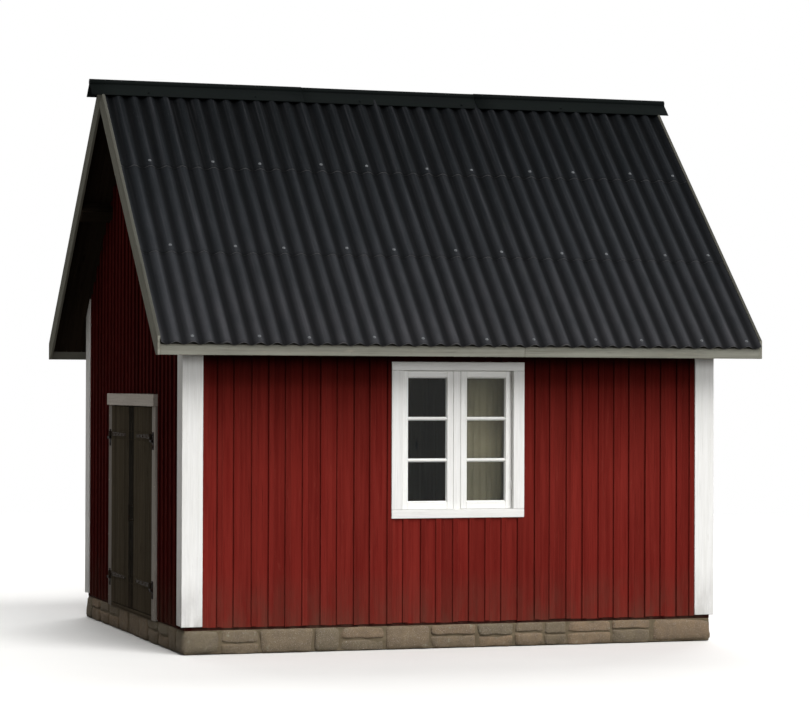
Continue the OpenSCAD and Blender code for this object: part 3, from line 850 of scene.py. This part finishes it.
def masonry(node):
    """One length of the plinth: stones laid dry at the face, and their packing behind."""
    piece = Piece(node + "_stones")
    chance = piece.chance
    start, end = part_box(node)
    axis = 0 if end.x - start.x > end.y - start.y else 1
    other = 1 - axis
    outward = math.copysign(1, start[other] + end[other])
    back, face = sorted((start[other], end[other]), key=lambda place: place * outward)
    shy = 0.020 * (axis == 0)
    outline = rectangle(start[axis] + shy, end[axis] - shy, face - outward * 0.016, back)
    if axis == 1:
        outline = [(b, a) for a, b in outline]
    piece.slab(outline, 0.002, end.z, "z", ALONG, 0.006, True, -1.0)
    at = start[axis]
    while at < end[axis] - 0.001:
        width = chance.uniform(0.20, 0.46)
        if end[axis] - at - width < 0.18:
            width = end[axis] - at
        first = at <= start[axis] + 0.001
        last = at + width >= end[axis] - 0.001
        at_corner = axis == 0 and (first or last)
        depth = 0.25 if at_corner else chance.uniform(0.11, 0.17)
        levels = [0.0, end.z]
        if not at_corner and chance.random() < 0.45:
            levels.insert(1, end.z * chance.uniform(0.45, 0.62))
        for bottom, above in zip(levels, levels[1:]):
            near = face - outward * chance.uniform(0.0, 0.010)
            a = Vector((0, 0, bottom + 0.004 * (bottom > 0)))
            b = Vector((0, 0, above - 0.004 * (above < end.z)))
            a[axis] = at + 0.005 * (not first)
            b[axis] = at + width - 0.005 * (not last)
            a[other], b[other] = sorted((near, near - outward * depth))
            boulder(piece, a, b, chance.random())
        at += width
    piece.done(stone, replaces=(node,))


for side in ("front", "back", "left", "right"):
    masonry(side + "_plinth")


def floor():
    """Boards that run along the house, on joists that run across it."""
    piece = Piece("floor_boards")
    count = 25
    step = 2 * ROOM_Y / count
    for i in range(count):
        left = -ROOM_Y + step * i
        break_x = piece.chance.uniform(-1.4, 1.4)
        top = FLOOR_Z - piece.chance.uniform(0.0, 0.0015)
        outline = rectangle(left + JOINT, left + step - JOINT, PLINTH_H, top)
        for x_from, x_to in ((-ROOM_X, break_x), (break_x, ROOM_X)):
            piece.slab(outline, x_from + 0.0006, x_to - 0.0006, "x", ALONG, 0.0015)
    inner_y = -high("front_plinth").y
    reach = -high("left_plinth").x - JOIST_W / 2
    for i in range(JOISTS):
        middle = -reach + 2 * reach * i / (JOISTS - 1)
        outline = rectangle(middle - JOIST_W / 2, middle + JOIST_W / 2, low("floor").z, PLINTH_H - 0.0005)
        piece.slab(outline, -inner_y, inner_y, "y", ACROSS)
    piece.done(floor_wood, replaces=("floor",))


floor()


# Roof


def on_slope(x, up, rise, side):
    """A point by its distances up the slope from the fascia and square to the roof boards. side is -1 for the
    front slope."""
    y = side * (EAVE_Y - up * COS + rise * SIN)
    return (x, y, EAVE_Z + up * SIN + rise * COS)


def roof_boards(node, side):
    """Boards that run down the slope, with their plumb cuts."""
    piece = Piece(node + "_wood")
    count = 36
    step = 2 * VERGE_X / count
    for i in range(count):
        left = -VERGE_X + step * i
        thin = piece.chance.uniform(0.0, 0.0015)
        outline = [
            (side * FASCIA_Y, soffit_z(FASCIA_Y) + thin), (0.0, soffit_z(0) + thin),
            (0.0, RIDGE_Z), (side * FASCIA_Y, roof_z(FASCIA_Y)),
        ]
        start = left + 0.001 * (i > 0)
        end = left + step - 0.001 * (i < count - 1)
        piece.slab(outline, start, end, "x", (0, -side * COS, SIN), 0.002, False)
    piece.done(roof_wood, replaces=(node,))


def fascia(node, side, joint):
    """Two lengths of board along the eaves, butted at a joint."""
    piece = Piece(node + "_wood")
    outline = [
        (side * EAVE_Y, FASCIA_LOW), (side * FASCIA_Y, FASCIA_LOW),
        (side * FASCIA_Y, roof_z(FASCIA_Y)), (side * EAVE_Y, EAVE_Z),
    ]
    for x_from, x_to in ((-VERGE_X, joint - JOINT), (joint + JOINT, VERGE_X)):
        piece.slab(outline, x_from, x_to, "x", ALONG, 0.0028)
    x = -VERGE_X + 0.05
    while x < VERGE_X - 0.03:
        for height in (0.020, 0.058):
            spot = (x + piece.chance.uniform(-0.006, 0.006), side * EAVE_Y, FASCIA_LOW + height)
            nail(piece, spot, (0, side, 0))
        x += 0.496
    piece.done(grey_paint, replaces=(node,))


roof_boards("front_roof_boards", -1)
roof_boards("back_roof_boards", 1)
fascia("front_fascia", -1, 0.46)
fascia("back_fascia", 1, -0.62)

BARGE_RISE = high("left_front_bargeboard").z - RIDGE_Z + BARGE_CLEAR


def bargeboard(node, side_x, side_y):
    """The board up one slope, cut down to the ridge cap's wing at its head, with its nails."""
    piece = Piece(node + "_wood")
    depth = BARGE_W / COS
    foot_y = EAVE_Y - (FASCIA_LOW - EAVE_Z - BARGE_RISE + depth) / SLOPE
    cap_y = CAP_WING * COS + 0.001
    profile = [
        (EAVE_Y, FASCIA_LOW), (foot_y, FASCIA_LOW), (0.0003, RIDGE_Z + BARGE_RISE - depth),
        (0.0003, RIDGE_Z + BARGE_RISE - BARGE_CLEAR), (cap_y, roof_z(cap_y) + BARGE_RISE - BARGE_CLEAR),
        (cap_y, roof_z(cap_y) + BARGE_RISE), (EAVE_Y, EAVE_Z + BARGE_RISE),
    ]
    outline = [(side_y * y, z) for y, z in profile]
    face = side_x * (VERGE_X + BARGE_T)
    piece.slab(outline, side_x * VERGE_X, face, "x", (0, -side_y * COS, SIN), 0.0025, False)
    up = 0.10
    while up < SLOPE_L - 0.15:
        for drop in (0.035, 0.115):
            rise = BARGE_RISE * COS - drop + piece.chance.uniform(-0.004, 0.004)
            nail(piece, on_slope(face, up, rise, side_y), (side_x, 0, 0))
        up += 0.48
    piece.done(grey_paint, replaces=(node,))


for end, face, side_x, side_y in CORNERS:
    bargeboard(f"{end}_{face}_bargeboard", side_x, side_y)

# Crests are counted from the left verge, and one is over the middle of the house
WAVES = 2 * math.floor(VERGE_X / WAVE_PITCH) + 1
SHEET_WAVES = 7
LAPS = range(3, WAVES, SHEET_WAVES)
SCREW_UP = 0.07
SCREWS = [lap + step for lap in range(LAPS[0] - SHEET_WAVES, WAVES, SHEET_WAVES) for step in (2, 5)]
LAP_OVER = 0.036
LAP_UNDER = 0.042
COLUMN = WAVE_PITCH / 14
SHEET_ROWS = (0.0, 0.03, 0.2, 0.42, 0.65, 0.85, 1.0)
# What the lowest sheets end short of the fascia's drip, because that lap lifts them
DRIP_SHY = 0.0075


def wave(x):
    """Height of a sheet's underside over its troughs."""
    return WAVE_H * (1 + math.cos(2 * math.pi * x / WAVE_PITCH)) / 2


def crest_x(number):
    return (number + 0.5 - WAVES / 2) * WAVE_PITCH


def roof_sheet(piece, first, last, number, side):
    """One corrugated sheet. Its right edge lies over its neighbour's left edge, and its foot on the course
    below."""
    chance = piece.chance
    start = number * SHEET_SHOW - SHEET_OVERHANG + chance.uniform(0.0, 0.004) + DRIP_SHY * (number == 0)
    length = TOP_COURSE_L if number == COURSES - 1 else SHEET_SHOW + SHEET_LAP
    length -= chance.uniform(0.004, 0.008)
    left = first if first <= -VERGE_X + 0.001 else first - LAP_UNDER
    right = last if last >= VERGE_X - 0.001 else last + LAP_OVER
    steps = range(math.floor(left / COLUMN) + 1, math.ceil(right / COLUMN))
    columns = [left] + [i * COLUMN for i in steps] + [right]
    over = []
    under = []
    for share in SHEET_ROWS:
        up = start + share * length
        base = SHEET_FOOT * (1 - 0.98 * share * length / (SHEET_SHOW + SHEET_LAP))
        for x in columns:
            lift = 0.0
            if right != last:
                lift = (SHEET_T + SEAT) * (1 - smooth_step((right - x - LAP_OVER - LAP_UNDER) / WAVE_PITCH))
            rise = base + wave(x) + lift
            under.append(on_slope(x, up, rise, side))
            over.append(on_slope(x, up, rise + SHEET_T, side))
    mark = [wave(x) / WAVE_H for x in columns] * len(SHEET_ROWS)
    piece.skin(over, under, len(columns), (0, -side * COS, SIN), mark)


def sheet_course(node, number, side, screws):
    """One course of sheets, whose row of screws goes into the piece of all the screws."""
    piece = Piece(node + "_sheets")
    laps = [crest_x(lap) for lap in LAPS]
    for first, last in zip([-VERGE_X] + laps, laps + [VERGE_X]):
        roof_sheet(piece, first, last, number, side)
    up = number * SHEET_SHOW - SHEET_OVERHANG + SCREW_UP
    rise = SHEET_FOOT * (1 - SCREW_UP / (SHEET_SHOW + SHEET_LAP)) + WAVE_H + SHEET_T
    for crest in SCREWS:
        if 0 <= crest < WAVES:
            spot = on_slope(crest_x(crest), up + piece.chance.uniform(-0.008, 0.008), rise, side)
            roof_screw(screws, spot, (0, side * SIN, COS))
    piece.done(roof_cement, replaces=(node,))


roof_screws = Piece("roof_screws")
for face, side in (("front", -1), ("back", 1)):
    for number, course in enumerate(("lower", "middle", "upper")):
        sheet_course(f"{face}_sheets_{course}", number, side, roof_screws)

CAP_TOP = high("ridge_cap").z - CAP_R
CAP_X = high("ridge_cap").x
CAP_LAPS = (-0.87, -0.78, 0.81, 0.90)
CAP_SINK = 0.0027
CAP_SCREW_OUT = 0.125
CAP_SCREW_SINK = 0.0038


def cap_path(sink):
    """The middle of the ridge cap's metal, from the lip of one wing over the roll to the other's."""
    off = CAP_T / 2 - sink
    radius = CAP_R - CAP_T / 2 - sink
    lip = [(CAP_WING - 0.001, off - 0.0032), (CAP_WING - 0.007, off), (0.09, off), (0.036, off)]
    right = [Vector((d * COS + o * SIN, -d * SIN + o * COS)) for d, o in lip]
    count = 18
    angles = [-PITCH + 0.10 + (math.pi + 2 * PITCH - 0.20) * i / count for i in range(count + 1)]
    roll = [Vector((radius * math.cos(a), radius * math.sin(a))) for a in angles]
    left = [Vector((-p.x, p.y)) for p in right[::-1]]
    return right + roll + left


def cap_section(sink):
    """The closed outline of the metal, CAP_T thick."""
    path = cap_path(sink)
    outer = []
    inner = []
    for i, here in enumerate(path):
        run = (path[min(i + 1, len(path) - 1)] - path[max(i - 1, 0)]).normalized()
        normal = Vector((run.y, -run.x))
        outer.append(here + normal * CAP_T / 2)
        inner.append(here - normal * CAP_T / 2)
    return outer, inner


def ridge_cap():
    """Three lengths of folded steel and a stop in each end. The outer two lie over the middle one's ends."""
    piece = Piece("ridge_cap_lengths")
    stations = 9
    spans = [(-CAP_X, CAP_LAPS[1], 0.0), (CAP_LAPS[0], CAP_LAPS[3], CAP_SINK), (CAP_LAPS[2], CAP_X, 0.0)]
    for x_from, x_to, sink in spans:
        outer, inner = cap_section(sink)
        over = []
        under = []
        for i in range(stations):
            x = x_from + (x_to - x_from) * i / (stations - 1)
            dip = piece.chance.uniform(0.0, 0.0012) if sink else 0.0
            over += [(x, p.x, CAP_TOP - dip + p.y) for p in outer]
            under += [(x, p.x, CAP_TOP - dip + p.y) for p in inner]
        piece.skin(over, under, len(outer), ALONG)
    radius = CAP_R - CAP_T - 0.0022
    profile = [(0.0, radius), (0.0015, radius), (0.003, radius * 0.7)]
    for side_x in (-1, 1):
        piece.turned(profile, (side_x * (CAP_X - 0.004), 0, CAP_TOP), (side_x, 0, 0), 20)
    for side in (-1, 1):
        for number in range(2, WAVES, SHEET_WAVES):
            x = crest_x(number)
            sink = CAP_SCREW_SINK * (abs(x) < -CAP_LAPS[1])
            spot = (x, side * CAP_SCREW_OUT * COS, CAP_TOP - CAP_SCREW_OUT * SIN + CAP_T / COS - sink)
            roof_screw(piece, spot, (0, side * SIN, COS))
    piece.done(ridge_steel, replaces=("ridge_cap",))


ridge_cap()
roof_screws.done(screw_zinc)


# Window


def four_bars(hole, upright_w, level_w, gap=0.0):
    """Outlines and directions of a head, a foot and the two sides between them, along a hole's edge."""
    left, right, bottom, top = hole
    foot, head = bottom + level_w, top - level_w
    return (
        (rectangle(left, right, head, top), ALONG),
        (rectangle(left, right, bottom, foot), ALONG),
        (rectangle(left, left + upright_w, foot + gap, head - gap), UP),
        (rectangle(right - upright_w, right, foot + gap, head - gap), UP),
    )


def window_casing():
    """Four boards round the window: the head and the foot run across, and the sides stand between them."""
    piece = Piece("window_casing_boards")
    left, right, bottom, top = WINDOW_HOLE
    widths = [WINDOW_FRAME_HOLE[i] + FRAME_BAR - WINDOW_HOLE[i] for i in (0, 2)]
    face = low("window_casing").y
    for outline, along in four_bars(WINDOW_HOLE, *widths, JOINT):
        piece.slab(outline, face, -WALL_Y, "y", along)
    for x in (left + 0.03, left + 0.065, right - 0.065, right - 0.03):
        for z in (bottom + 0.3, bottom + 0.63, top - 0.3, bottom + 0.03, top - 0.03):
            nail(piece, (x, face, z), (0, -1, 0))
    piece.done(white_window, replaces=("window_casing",))


window_casing()

sash_low, sash_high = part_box("left_sash")
SASH_W = sash_high.x - sash_low.x
SASH_X = abs((sash_low.x + sash_high.x) / 2 - WIN_X)
SASH_GAP = sash_low.z - WINDOW_FRAME_HOLE[2] - FRAME_BAR
MULLION = 2 * (SASH_X - SASH_W / 2 - SASH_GAP)


def window_frame():
    """Head, sill, jambs and the post between the sashes, each with the stop behind the sashes."""
    piece = Piece("window_frame_members")
    bottom, top = WINDOW_FRAME_HOLE[2:]
    near, back = low("window_frame").y + 0.001, high("window_frame").y
    step = sash_high.y + SEAT
    for y_from, post_from, y_to, stop in ((near, sash_low.y, step, 0.0), (step, step, back, STOP_W)):
        bar = FRAME_BAR + stop
        for outline, along in four_bars(WINDOW_FRAME_HOLE, bar, bar):
            piece.slab(outline, y_from, y_to, "y", along, 0.0015)
        half = MULLION / 2 + stop
        outline = rectangle(WIN_X - half, WIN_X + half, bottom + bar, top - bar)
        piece.slab(outline, post_from, y_to, "y", UP, 0.0025)
    piece.done(white_window, replaces=("window_frame",))


window_frame()

glass_low, glass_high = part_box("window_glass")
BAR_W = 0.014
PUTTY_W = 0.008
panes = Piece("window_panes")


def putty(piece, left, right, bottom, top, front, back):
    """A bevelled bead round a pane, from the sash's edge down to the glass."""
    outer = rectangle(left, right, bottom, top)
    inner = rectangle(left + PUTTY_W, right - PUTTY_W, bottom + PUTTY_W, top - PUTTY_W)
    rings = [(outer, front), (inner, back), (outer, back)]
    points = [(x, y, z) for ring, y in rings for x, z in ring]
    faces = []
    for ring in range(3):
        for i in range(4):
            here = ring * 4 + i
            after = ring * 4 + (i + 1) % 4
            faces.append([here, after, (after + 4) % 12, (here + 4) % 12])
    piece.add(points, faces, UP, 0.4)


def pane(left, right, bottom, top):
    """A pane that sits a little out of true, so that it mirrors on its own."""
    turn = Matrix.Rotation(panes.chance.uniform(-0.003, 0.003), 3, "X")
    turn = turn @ Matrix.Rotation(panes.chance.uniform(-0.003, 0.003), 3, "Z")
    middle = Vector(((left + right) / 2, (glass_low.y + glass_high.y) / 2, (bottom + top) / 2))
    half = Vector(((right - left) / 2, 0.0015, (top - bottom) / 2))
    points = []
    for y in (-half.y, half.y):
        for x, z in rectangle(-half.x, half.x, -half.z, half.z):
            points.append(middle + turn @ Vector((x, y, z)))
    panes.add(points, tube_faces(4, 2))


def sash(node, side):
    """Stiles, rails and two glazing bars, puttied panes, and two hinges on the outer edge."""
    piece = Piece(node + "_wood")
    start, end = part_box(node)
    face, back = start.y, end.y
    bottom, top = start.z + RAIL_W, end.z - STILE_W
    left, right = start.x + STILE_W, end.x - STILE_W
    for x_from, x_to in ((start.x, left), (right, end.x)):
        piece.slab(rectangle(x_from, x_to, start.z, end.z), face, back, "y", UP, 0.0025)
    for z_from, z_to in ((start.z, bottom), (top, end.z)):
        piece.slab(rectangle(left + 0.0004, right - 0.0004, z_from, z_to), face, back, "y", ALONG, 0.0025)
    step = (top - bottom) / 3
    bars = [bottom + step, bottom + 2 * step]
    for z in bars:
        outline = rectangle(left, right, z - BAR_W / 2, z + BAR_W / 2)
        piece.slab(outline, face + 0.003, glass_high.y, "y", ALONG, 0.0015)
        outline = rectangle(left, right, z - BAR_W, z + BAR_W)
        piece.slab(outline, glass_high.y, back - 0.002, "y", ALONG)
    levels = [bottom] + [z + d for z in bars for d in (-BAR_W / 2, BAR_W / 2)] + [top]
    for z_from, z_to in zip(levels[::2], levels[1::2]):
        putty(piece, left, right, z_from, z_to, face + 0.007, glass_low.y + 0.0004)
        pane(left - 0.004, right + 0.004, z_from - 0.004, z_to + 0.004)
    hinge_x = start.x if side < 0 else end.x
    profile = [(0.0, 0.0035), (0.002, 0.0058), (0.066, 0.0058), (0.068, 0.0035)]
    for z in (start.z + 0.19, end.z - 0.19):
        piece.turned(profile, (hinge_x, face - 0.004, z - 0.034), UP, 14)
        outline = rectangle(hinge_x, hinge_x - side * 0.030, z - 0.032, z + 0.032)
        piece.slab(outline, face - 0.002, face + 0.001, "y", UP, 0.0008)
    piece.done(white_window, replaces=(node,))


sash("left_sash", -1)
sash("right_sash", 1)
panes.done(glass, replaces=("window_glass",))


# Curtain

curtain_low, curtain_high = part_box("window_curtain")
ROD_Y = -ROOM_Y + ROD_OUT
ROD_Z = curtain_high.z - ROD_R


def curtain_rod():
    """A rod with a knob at each end, and two brackets with a round foot on the wall."""
    piece = Piece("curtain_rod")
    start, end = curtain_low.x, curtain_high.x
    length = end - start
    knob = [(0.0, 0.004), (0.004, 0.009), (0.012, 0.009), (0.016, ROD_R)]
    profile = knob + [(length - distance, radius) for distance, radius in knob[::-1]]
    piece.turned(profile, (start, ROD_Y, ROD_Z), ALONG, 16)
    reach = ROD_Y + ROOM_Y - 0.001
    profile = [(0.0, 0.005), (reach - 0.004, 0.005), (reach - 0.003, 0.014), (reach, 0.014)]
    for x in (start + 2 * ROD_R, end - 2 * ROD_R):
        piece.turned(profile, (x, ROD_Y, ROD_Z), (0, -1, 0), 14)
    piece.done(black_iron, replaces=("window_curtain",))


curtain_rod()


def cloth_y(share, drop):
    """The folds' depth at a share of the width and of the drop. They spread and wander towards the hem."""
    bend = share + 0.018 * math.sin(7.3 * share + 2.2 * drop) + 0.010 * math.sin(3.1 * drop + 17 * share)
    fold = math.sin(2 * math.pi * (6.0 * bend + 0.10 * drop))
    fold += 0.28 * math.sin(2 * math.pi * (12.6 * bend + 0.3 * drop) + 0.8)
    return fold / 1.28


def cloth_row(kind, value, shares):
    """One row of the cloth's points: where it hangs, by its height from 0 to 1; in the channel round the rod,
    by the two directions from the rod; and in the tail that the channel leaves behind, by its share."""
    row = []
    for share in shares:
        x = CLOTH_RIGHT - CLOTH_W + CLOTH_W * share
        loose = 0.0100 + 0.0022 * cloth_y(share, 0.0)
        if kind == "hang":
            drop = 1 - value
            full = smooth_step(drop / 0.10)
            depth = 0.0028 + (CLOTH_DEPTH / 2 - 0.006) * full * (0.09 + 0.07 * drop)
            y = -0.0115 * (1 - full) + depth * cloth_y(share, drop) - 0.002 * full
            z = curtain_low.z + 0.002 + (ROD_Z - curtain_low.z - 0.002) * value
            x += 0.004 * math.sin(9 * share + 2 * drop) * full
        elif kind == "turn":
            y = value[0] * loose
            z = ROD_Z + value[1] * (ROD_R + 0.003)
        else:
            y = loose
            z = ROD_Z - 0.045 * value
        row.append(Vector((x, ROD_Y + y, z)))
    return row


def curtain():
    """A cloth gathered on its rod: it hangs from a sewn channel round the rod and ends in a hem."""
    piece = Piece("curtain_cloth")
    cloth_t = 0.0011
    columns = 150
    shares = [i / (columns - 1) for i in range(columns)]
    rows = [("hang", i / 44) for i in range(44)]
    rows += [("turn", spot) for spot in ((-1.0, 0.0), (-0.75, 0.66), (0.0, 1.0), (0.75, 0.66), (1.0, 0.0))]
    rows += [("tail", share) for share in (0.3, 0.65, 1.0)]
    over = [cloth_row(kind, value, shares) for kind, value in rows]
    under = []
    for number, row in enumerate(over):
        below = over[max(number - 1, 0)]
        above = over[min(number + 1, len(over) - 1)]
        for i, here in enumerate(row):
            run = row[min(i + 1, columns - 1)] - row[max(i - 1, 0)]
            under.append(here + run.cross(above[i] - below[i]).normalized() * cloth_t)
    piece.skin([p for row in over for p in row], under, columns, UP)
    cloth = piece.done(curtain_linen, replaces=("window_curtain",))


curtain()


# Doorway

DOOR_Y = (DOOR_HOLE[0] + DOOR_HOLE[1]) / 2
DOOR_HALF = (DOOR_FRAME_HOLE[1] - DOOR_FRAME_HOLE[0]) / 2 - JAMB_T
DOOR_HEAD_Z = DOOR_FRAME_HOLE[3] - JAMB_T
leaf_low, leaf_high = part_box("front_door_leaf")
DOOR_STOP_X = leaf_low.x + LEAF_TO_STOP
STRAP_Z = (leaf_low.z + STRAP_INSET, leaf_high.z - STRAP_INSET)
IRON_X = leaf_low.x - SEAT - STRAP_T


def door_casing():
    """Two boards up the sides, darkened, and one over them."""
    piece = Piece("door_casing_boards")
    left, right, foot, top = DOOR_HOLE
    # The side boards are made darker, the back one more.
    for side, darkening in ((-1, 0.47), (1, 0.73)):
        inner, outer = DOOR_Y + side * DOOR_HALF, DOOR_Y + side * (right - DOOR_Y)
        outline = rectangle(inner, outer, foot, DOOR_HEAD_Z - 0.0006)
        piece.slab(outline, leaf_low.x, -WALL_X, "x", UP, 0.003, True, None, darkening)
        for z in (foot + 0.09, foot + 0.62, foot + 1.1, DOOR_HEAD_Z - 0.09):
            for y in (0.086, 0.106):
                nail(piece, (leaf_low.x, inner + side * y, z), (-1, 0, 0))
    face = low("door_casing").x
    piece.slab(rectangle(left, right, DOOR_HEAD_Z, top), face, -WALL_X, "x", ACROSS, 0.004)
    for y in (-0.87, -0.45, 0.0, 0.45, 0.87):
        for z in (0.025, 0.078):
            nail(piece, (face, DOOR_Y + y, DOOR_HEAD_Z + z), (-1, 0, 0))
    piece.done(pale_paint, replaces=("door_casing",))


def door_frame():
    """Jambs and head, each with the stop behind the leaves."""
    piece = Piece("door_frame_members")
    left, right, foot, top = DOOR_FRAME_HOLE
    for x_from, x_to, stop in ((-WALL_X, DOOR_STOP_X, 0.0), (DOOR_STOP_X, high("door_frame").x, STOP_W)):
        for side in (-1, 1):
            inner, outer = DOOR_Y + side * (DOOR_HALF - stop), DOOR_Y + side * (DOOR_HALF + JAMB_T)
            piece.slab(rectangle(inner, outer, foot, DOOR_HEAD_Z - stop), x_from, x_to, "x", UP, 0.002)
        piece.slab(rectangle(left, right, DOOR_HEAD_Z - stop, top), x_from, x_to, "x", ACROSS, 0.002)
    piece.done(door_wood, replaces=("door_frame",))


def door_sill():
    """A board under the leaves, and a narrower one behind it, between the stops."""
    piece = Piece("door_sill_board")
    start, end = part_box("door_sill")
    piece.slab(rectangle(start.x, DOOR_STOP_X, start.z, end.z), start.y, end.y, "y", ACROSS, 0.006)
    outline = rectangle(DOOR_STOP_X, end.x, start.z, end.z - 0.0008)
    piece.slab(outline, start.y + STOP_W, end.y - STOP_W, "y", ACROSS, 0.004)
    piece.done(door_wood, replaces=("door_sill",))


door_casing()
door_frame()
door_sill()


def door_leaf(node, body, side):
    """Eight upright planks, held by two ledges with clenched nails. side is -1 for the front leaf. The plank
    at the meeting edge is nearly black."""
    piece = Piece(node + "_planks")
    chance = piece.chance
    start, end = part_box(node)
    face = start.x
    plank_back = face + LEAF_T
    count = 8
    step = (end.y - start.y) / count
    meeting = count - 1 if side < 0 else 0
    for i in range(count):
        left = start.y + step * i + 0.0012 * (i > 0)
        right = start.y + step * (i + 1) - 0.0012 * (i < count - 1)
        sunk = chance.uniform(0.0, 0.0018)
        foot = start.z + chance.uniform(0.0, 0.003)
        head = end.z - chance.uniform(0.0, 0.002)
        tone = chance.random()
        outline = rectangle(left, right, foot, head)
        piece.slab(outline, face + sunk, plank_back, "x", UP, 0.003, True, tone, float(i == meeting))
        for z in STRAP_Z:
            for offset in (-0.036, 0.036):
                for y in (left + 0.028, right - 0.028):
                    y += chance.uniform(-0.005, 0.005)
                    nail(piece, (face + sunk, y, z + offset), (-1, 0, 0), 0.0055, 0.1)
    for z in STRAP_Z:
        outline = rectangle(start.y + 0.030, end.y - 0.030, z - LEDGE_W / 2, z + LEDGE_W / 2)
        piece.slab(outline, plank_back, end.x, "x", ACROSS, 0.004)
        for i in range(count):
            for offset in (-0.030, 0.030):
                y = start.y + step * (i + 0.5) + chance.uniform(-0.03, 0.03)
                nail(piece, (end.x, y, z + offset), (1, 0, 0), 0.004, 0.1)
    piece.done(door_wood, body, (node,))


def strap_bolts(name, body, side):
    """Round bolt heads through a leaf's straps, a smaller one at the tip."""
    piece = Piece(name)
    for z in STRAP_Z:
        for distance in (0.07, 0.195, 0.325, 0.45, 0.565):
            radius = 0.0085 if distance < 0.5 else 0.006
            bolt(piece, (IRON_X, DOOR_Y + side * (DOOR_HALF - distance), z), (-1, 0, 0), radius)
    piece.done(worn_iron, body)


def plate_bolts():
    """Bolt heads in the hinge plates on the casing."""
    piece = Piece("hinge_plate_bolts")
    for side in (-1, 1):
        for z in STRAP_Z:
            for offset in (-0.052, 0.052):
                spot = (IRON_X, DOOR_Y + side * (DOOR_HALF + 0.045), z - PLATE_DROP + offset)
                bolt(piece, spot, (-1, 0, 0), 0.008)
    piece.done(black_iron)


door_leaf("front_door_leaf", "front_leaf", -1)
door_leaf("back_door_leaf", "back_leaf", 1)
strap_bolts("front_door_ironwork_bolts", "front_leaf", -1)
strap_bolts("back_door_ironwork_bolts", "back_leaf", 1)
plate_bolts()


# Camera, light and stage


def camera():
    """Stands where the photographer stood and looks at the house through a longer lens."""
    data = bpy.data.cameras.new("photo_camera")
    data.lens = 120.39
    data.sensor_width = 36.0
    data.clip_end = 400.0
    yaw, pitch, roll = 0.3161, 0.00971, 0.00341
    ahead = Vector((math.sin(yaw) * math.cos(pitch), math.cos(yaw) * math.cos(pitch), math.sin(pitch)))
    level = Vector((math.cos(yaw), -math.sin(yaw), 0.0))
    over = level.cross(ahead)
    right = level * math.cos(roll) + over * math.sin(roll)
    up = right.cross(ahead)
    camera_object = bpy.data.objects.new("photo_camera", data)
    rows = Matrix((right, up, -ahead)).transposed().to_4x4()
    camera_object.matrix_world = Matrix.Translation((-7.22397, -22.6427, 2.11851)) @ rows
    bpy.context.scene.collection.objects.link(camera_object)
    bpy.context.scene.camera = camera_object


def lamp(name, direction, strength, angle, colour, mirrored=True):
    """A sun that shines from a direction."""
    data = bpy.data.lights.new(name, "SUN")
    data.energy = strength
    data.angle = math.radians(angle)
    data.color = colour
    sun = bpy.data.objects.new(name, data)
    sun.rotation_mode = "QUATERNION"
    sun.rotation_quaternion = Vector(direction).to_track_quat("Z", "Y")
    sun.visible_glossy = mirrored
    bpy.context.scene.collection.objects.link(sun)


def stage_floor():
    """A pale floor that runs out into the white behind it."""
    look = Look("pale_floor", Roughness=0.9, Specular_IOR_Level=0.0)
    seen = look.seen()
    grey = look.cloud(look.place(), (0.6, 0.6, 0.6), 0.3, 0.7, 3.0, 0.5)
    pale = look.blend(grey, srgb(241, 241, 239), srgb(245, 245, 243))
    look.put(look.shader, {"Base_Color": look.blend(seen, srgb(106, 104, 100), pale)})
    away = look.add("VectorMath", look.place(), output="Value", operation="LENGTH")
    look.mix(look.times(look.spread(away, 6.0, 22.0), seen), look.add("Emission"))
    size = 150.0
    mesh = bpy.data.meshes.new("stage_floor")
    corners = [(x, y, -0.002) for x, y in rectangle(-size, size, -size, size)]
    mesh.from_pydata(corners, [], [(0, 1, 2, 3)])
    mesh.materials.append(look.material)
    ground = bpy.data.objects.new("stage_floor", mesh)
    bpy.context.scene.collection.objects.link(ground)


def world(strength):
    """White where it is seen, and soft sky light on the object."""
    sky = bpy.data.worlds.new("studio")
    bpy.context.scene.world = sky
    nodes = Nodes(sky)
    soft = (1.0 * strength, 0.98 * strength, 0.97 * strength, 1.0)
    colour = nodes.blend(nodes.seen(), soft, (1.0, 1.0, 1.0, 1.0))
    nodes.put(nodes.tree.nodes["Background"], {"Color": colour})


camera()
lamp("key_light", (0.22, -1.0, 1.08), 2.9, 46, (1.0, 0.99, 0.985))
lamp("front_fill", (0.5, -1.0, 0.14), 1.05, 16, (0.985, 0.99, 1.0), False)
lamp("back_fill", (0.3, 1.0, 0.85), 2.0, 50, (0.985, 0.99, 1.0), False)
world(0.25)
stage_floor()
bpy.context.scene.view_settings.view_transform = "Standard"
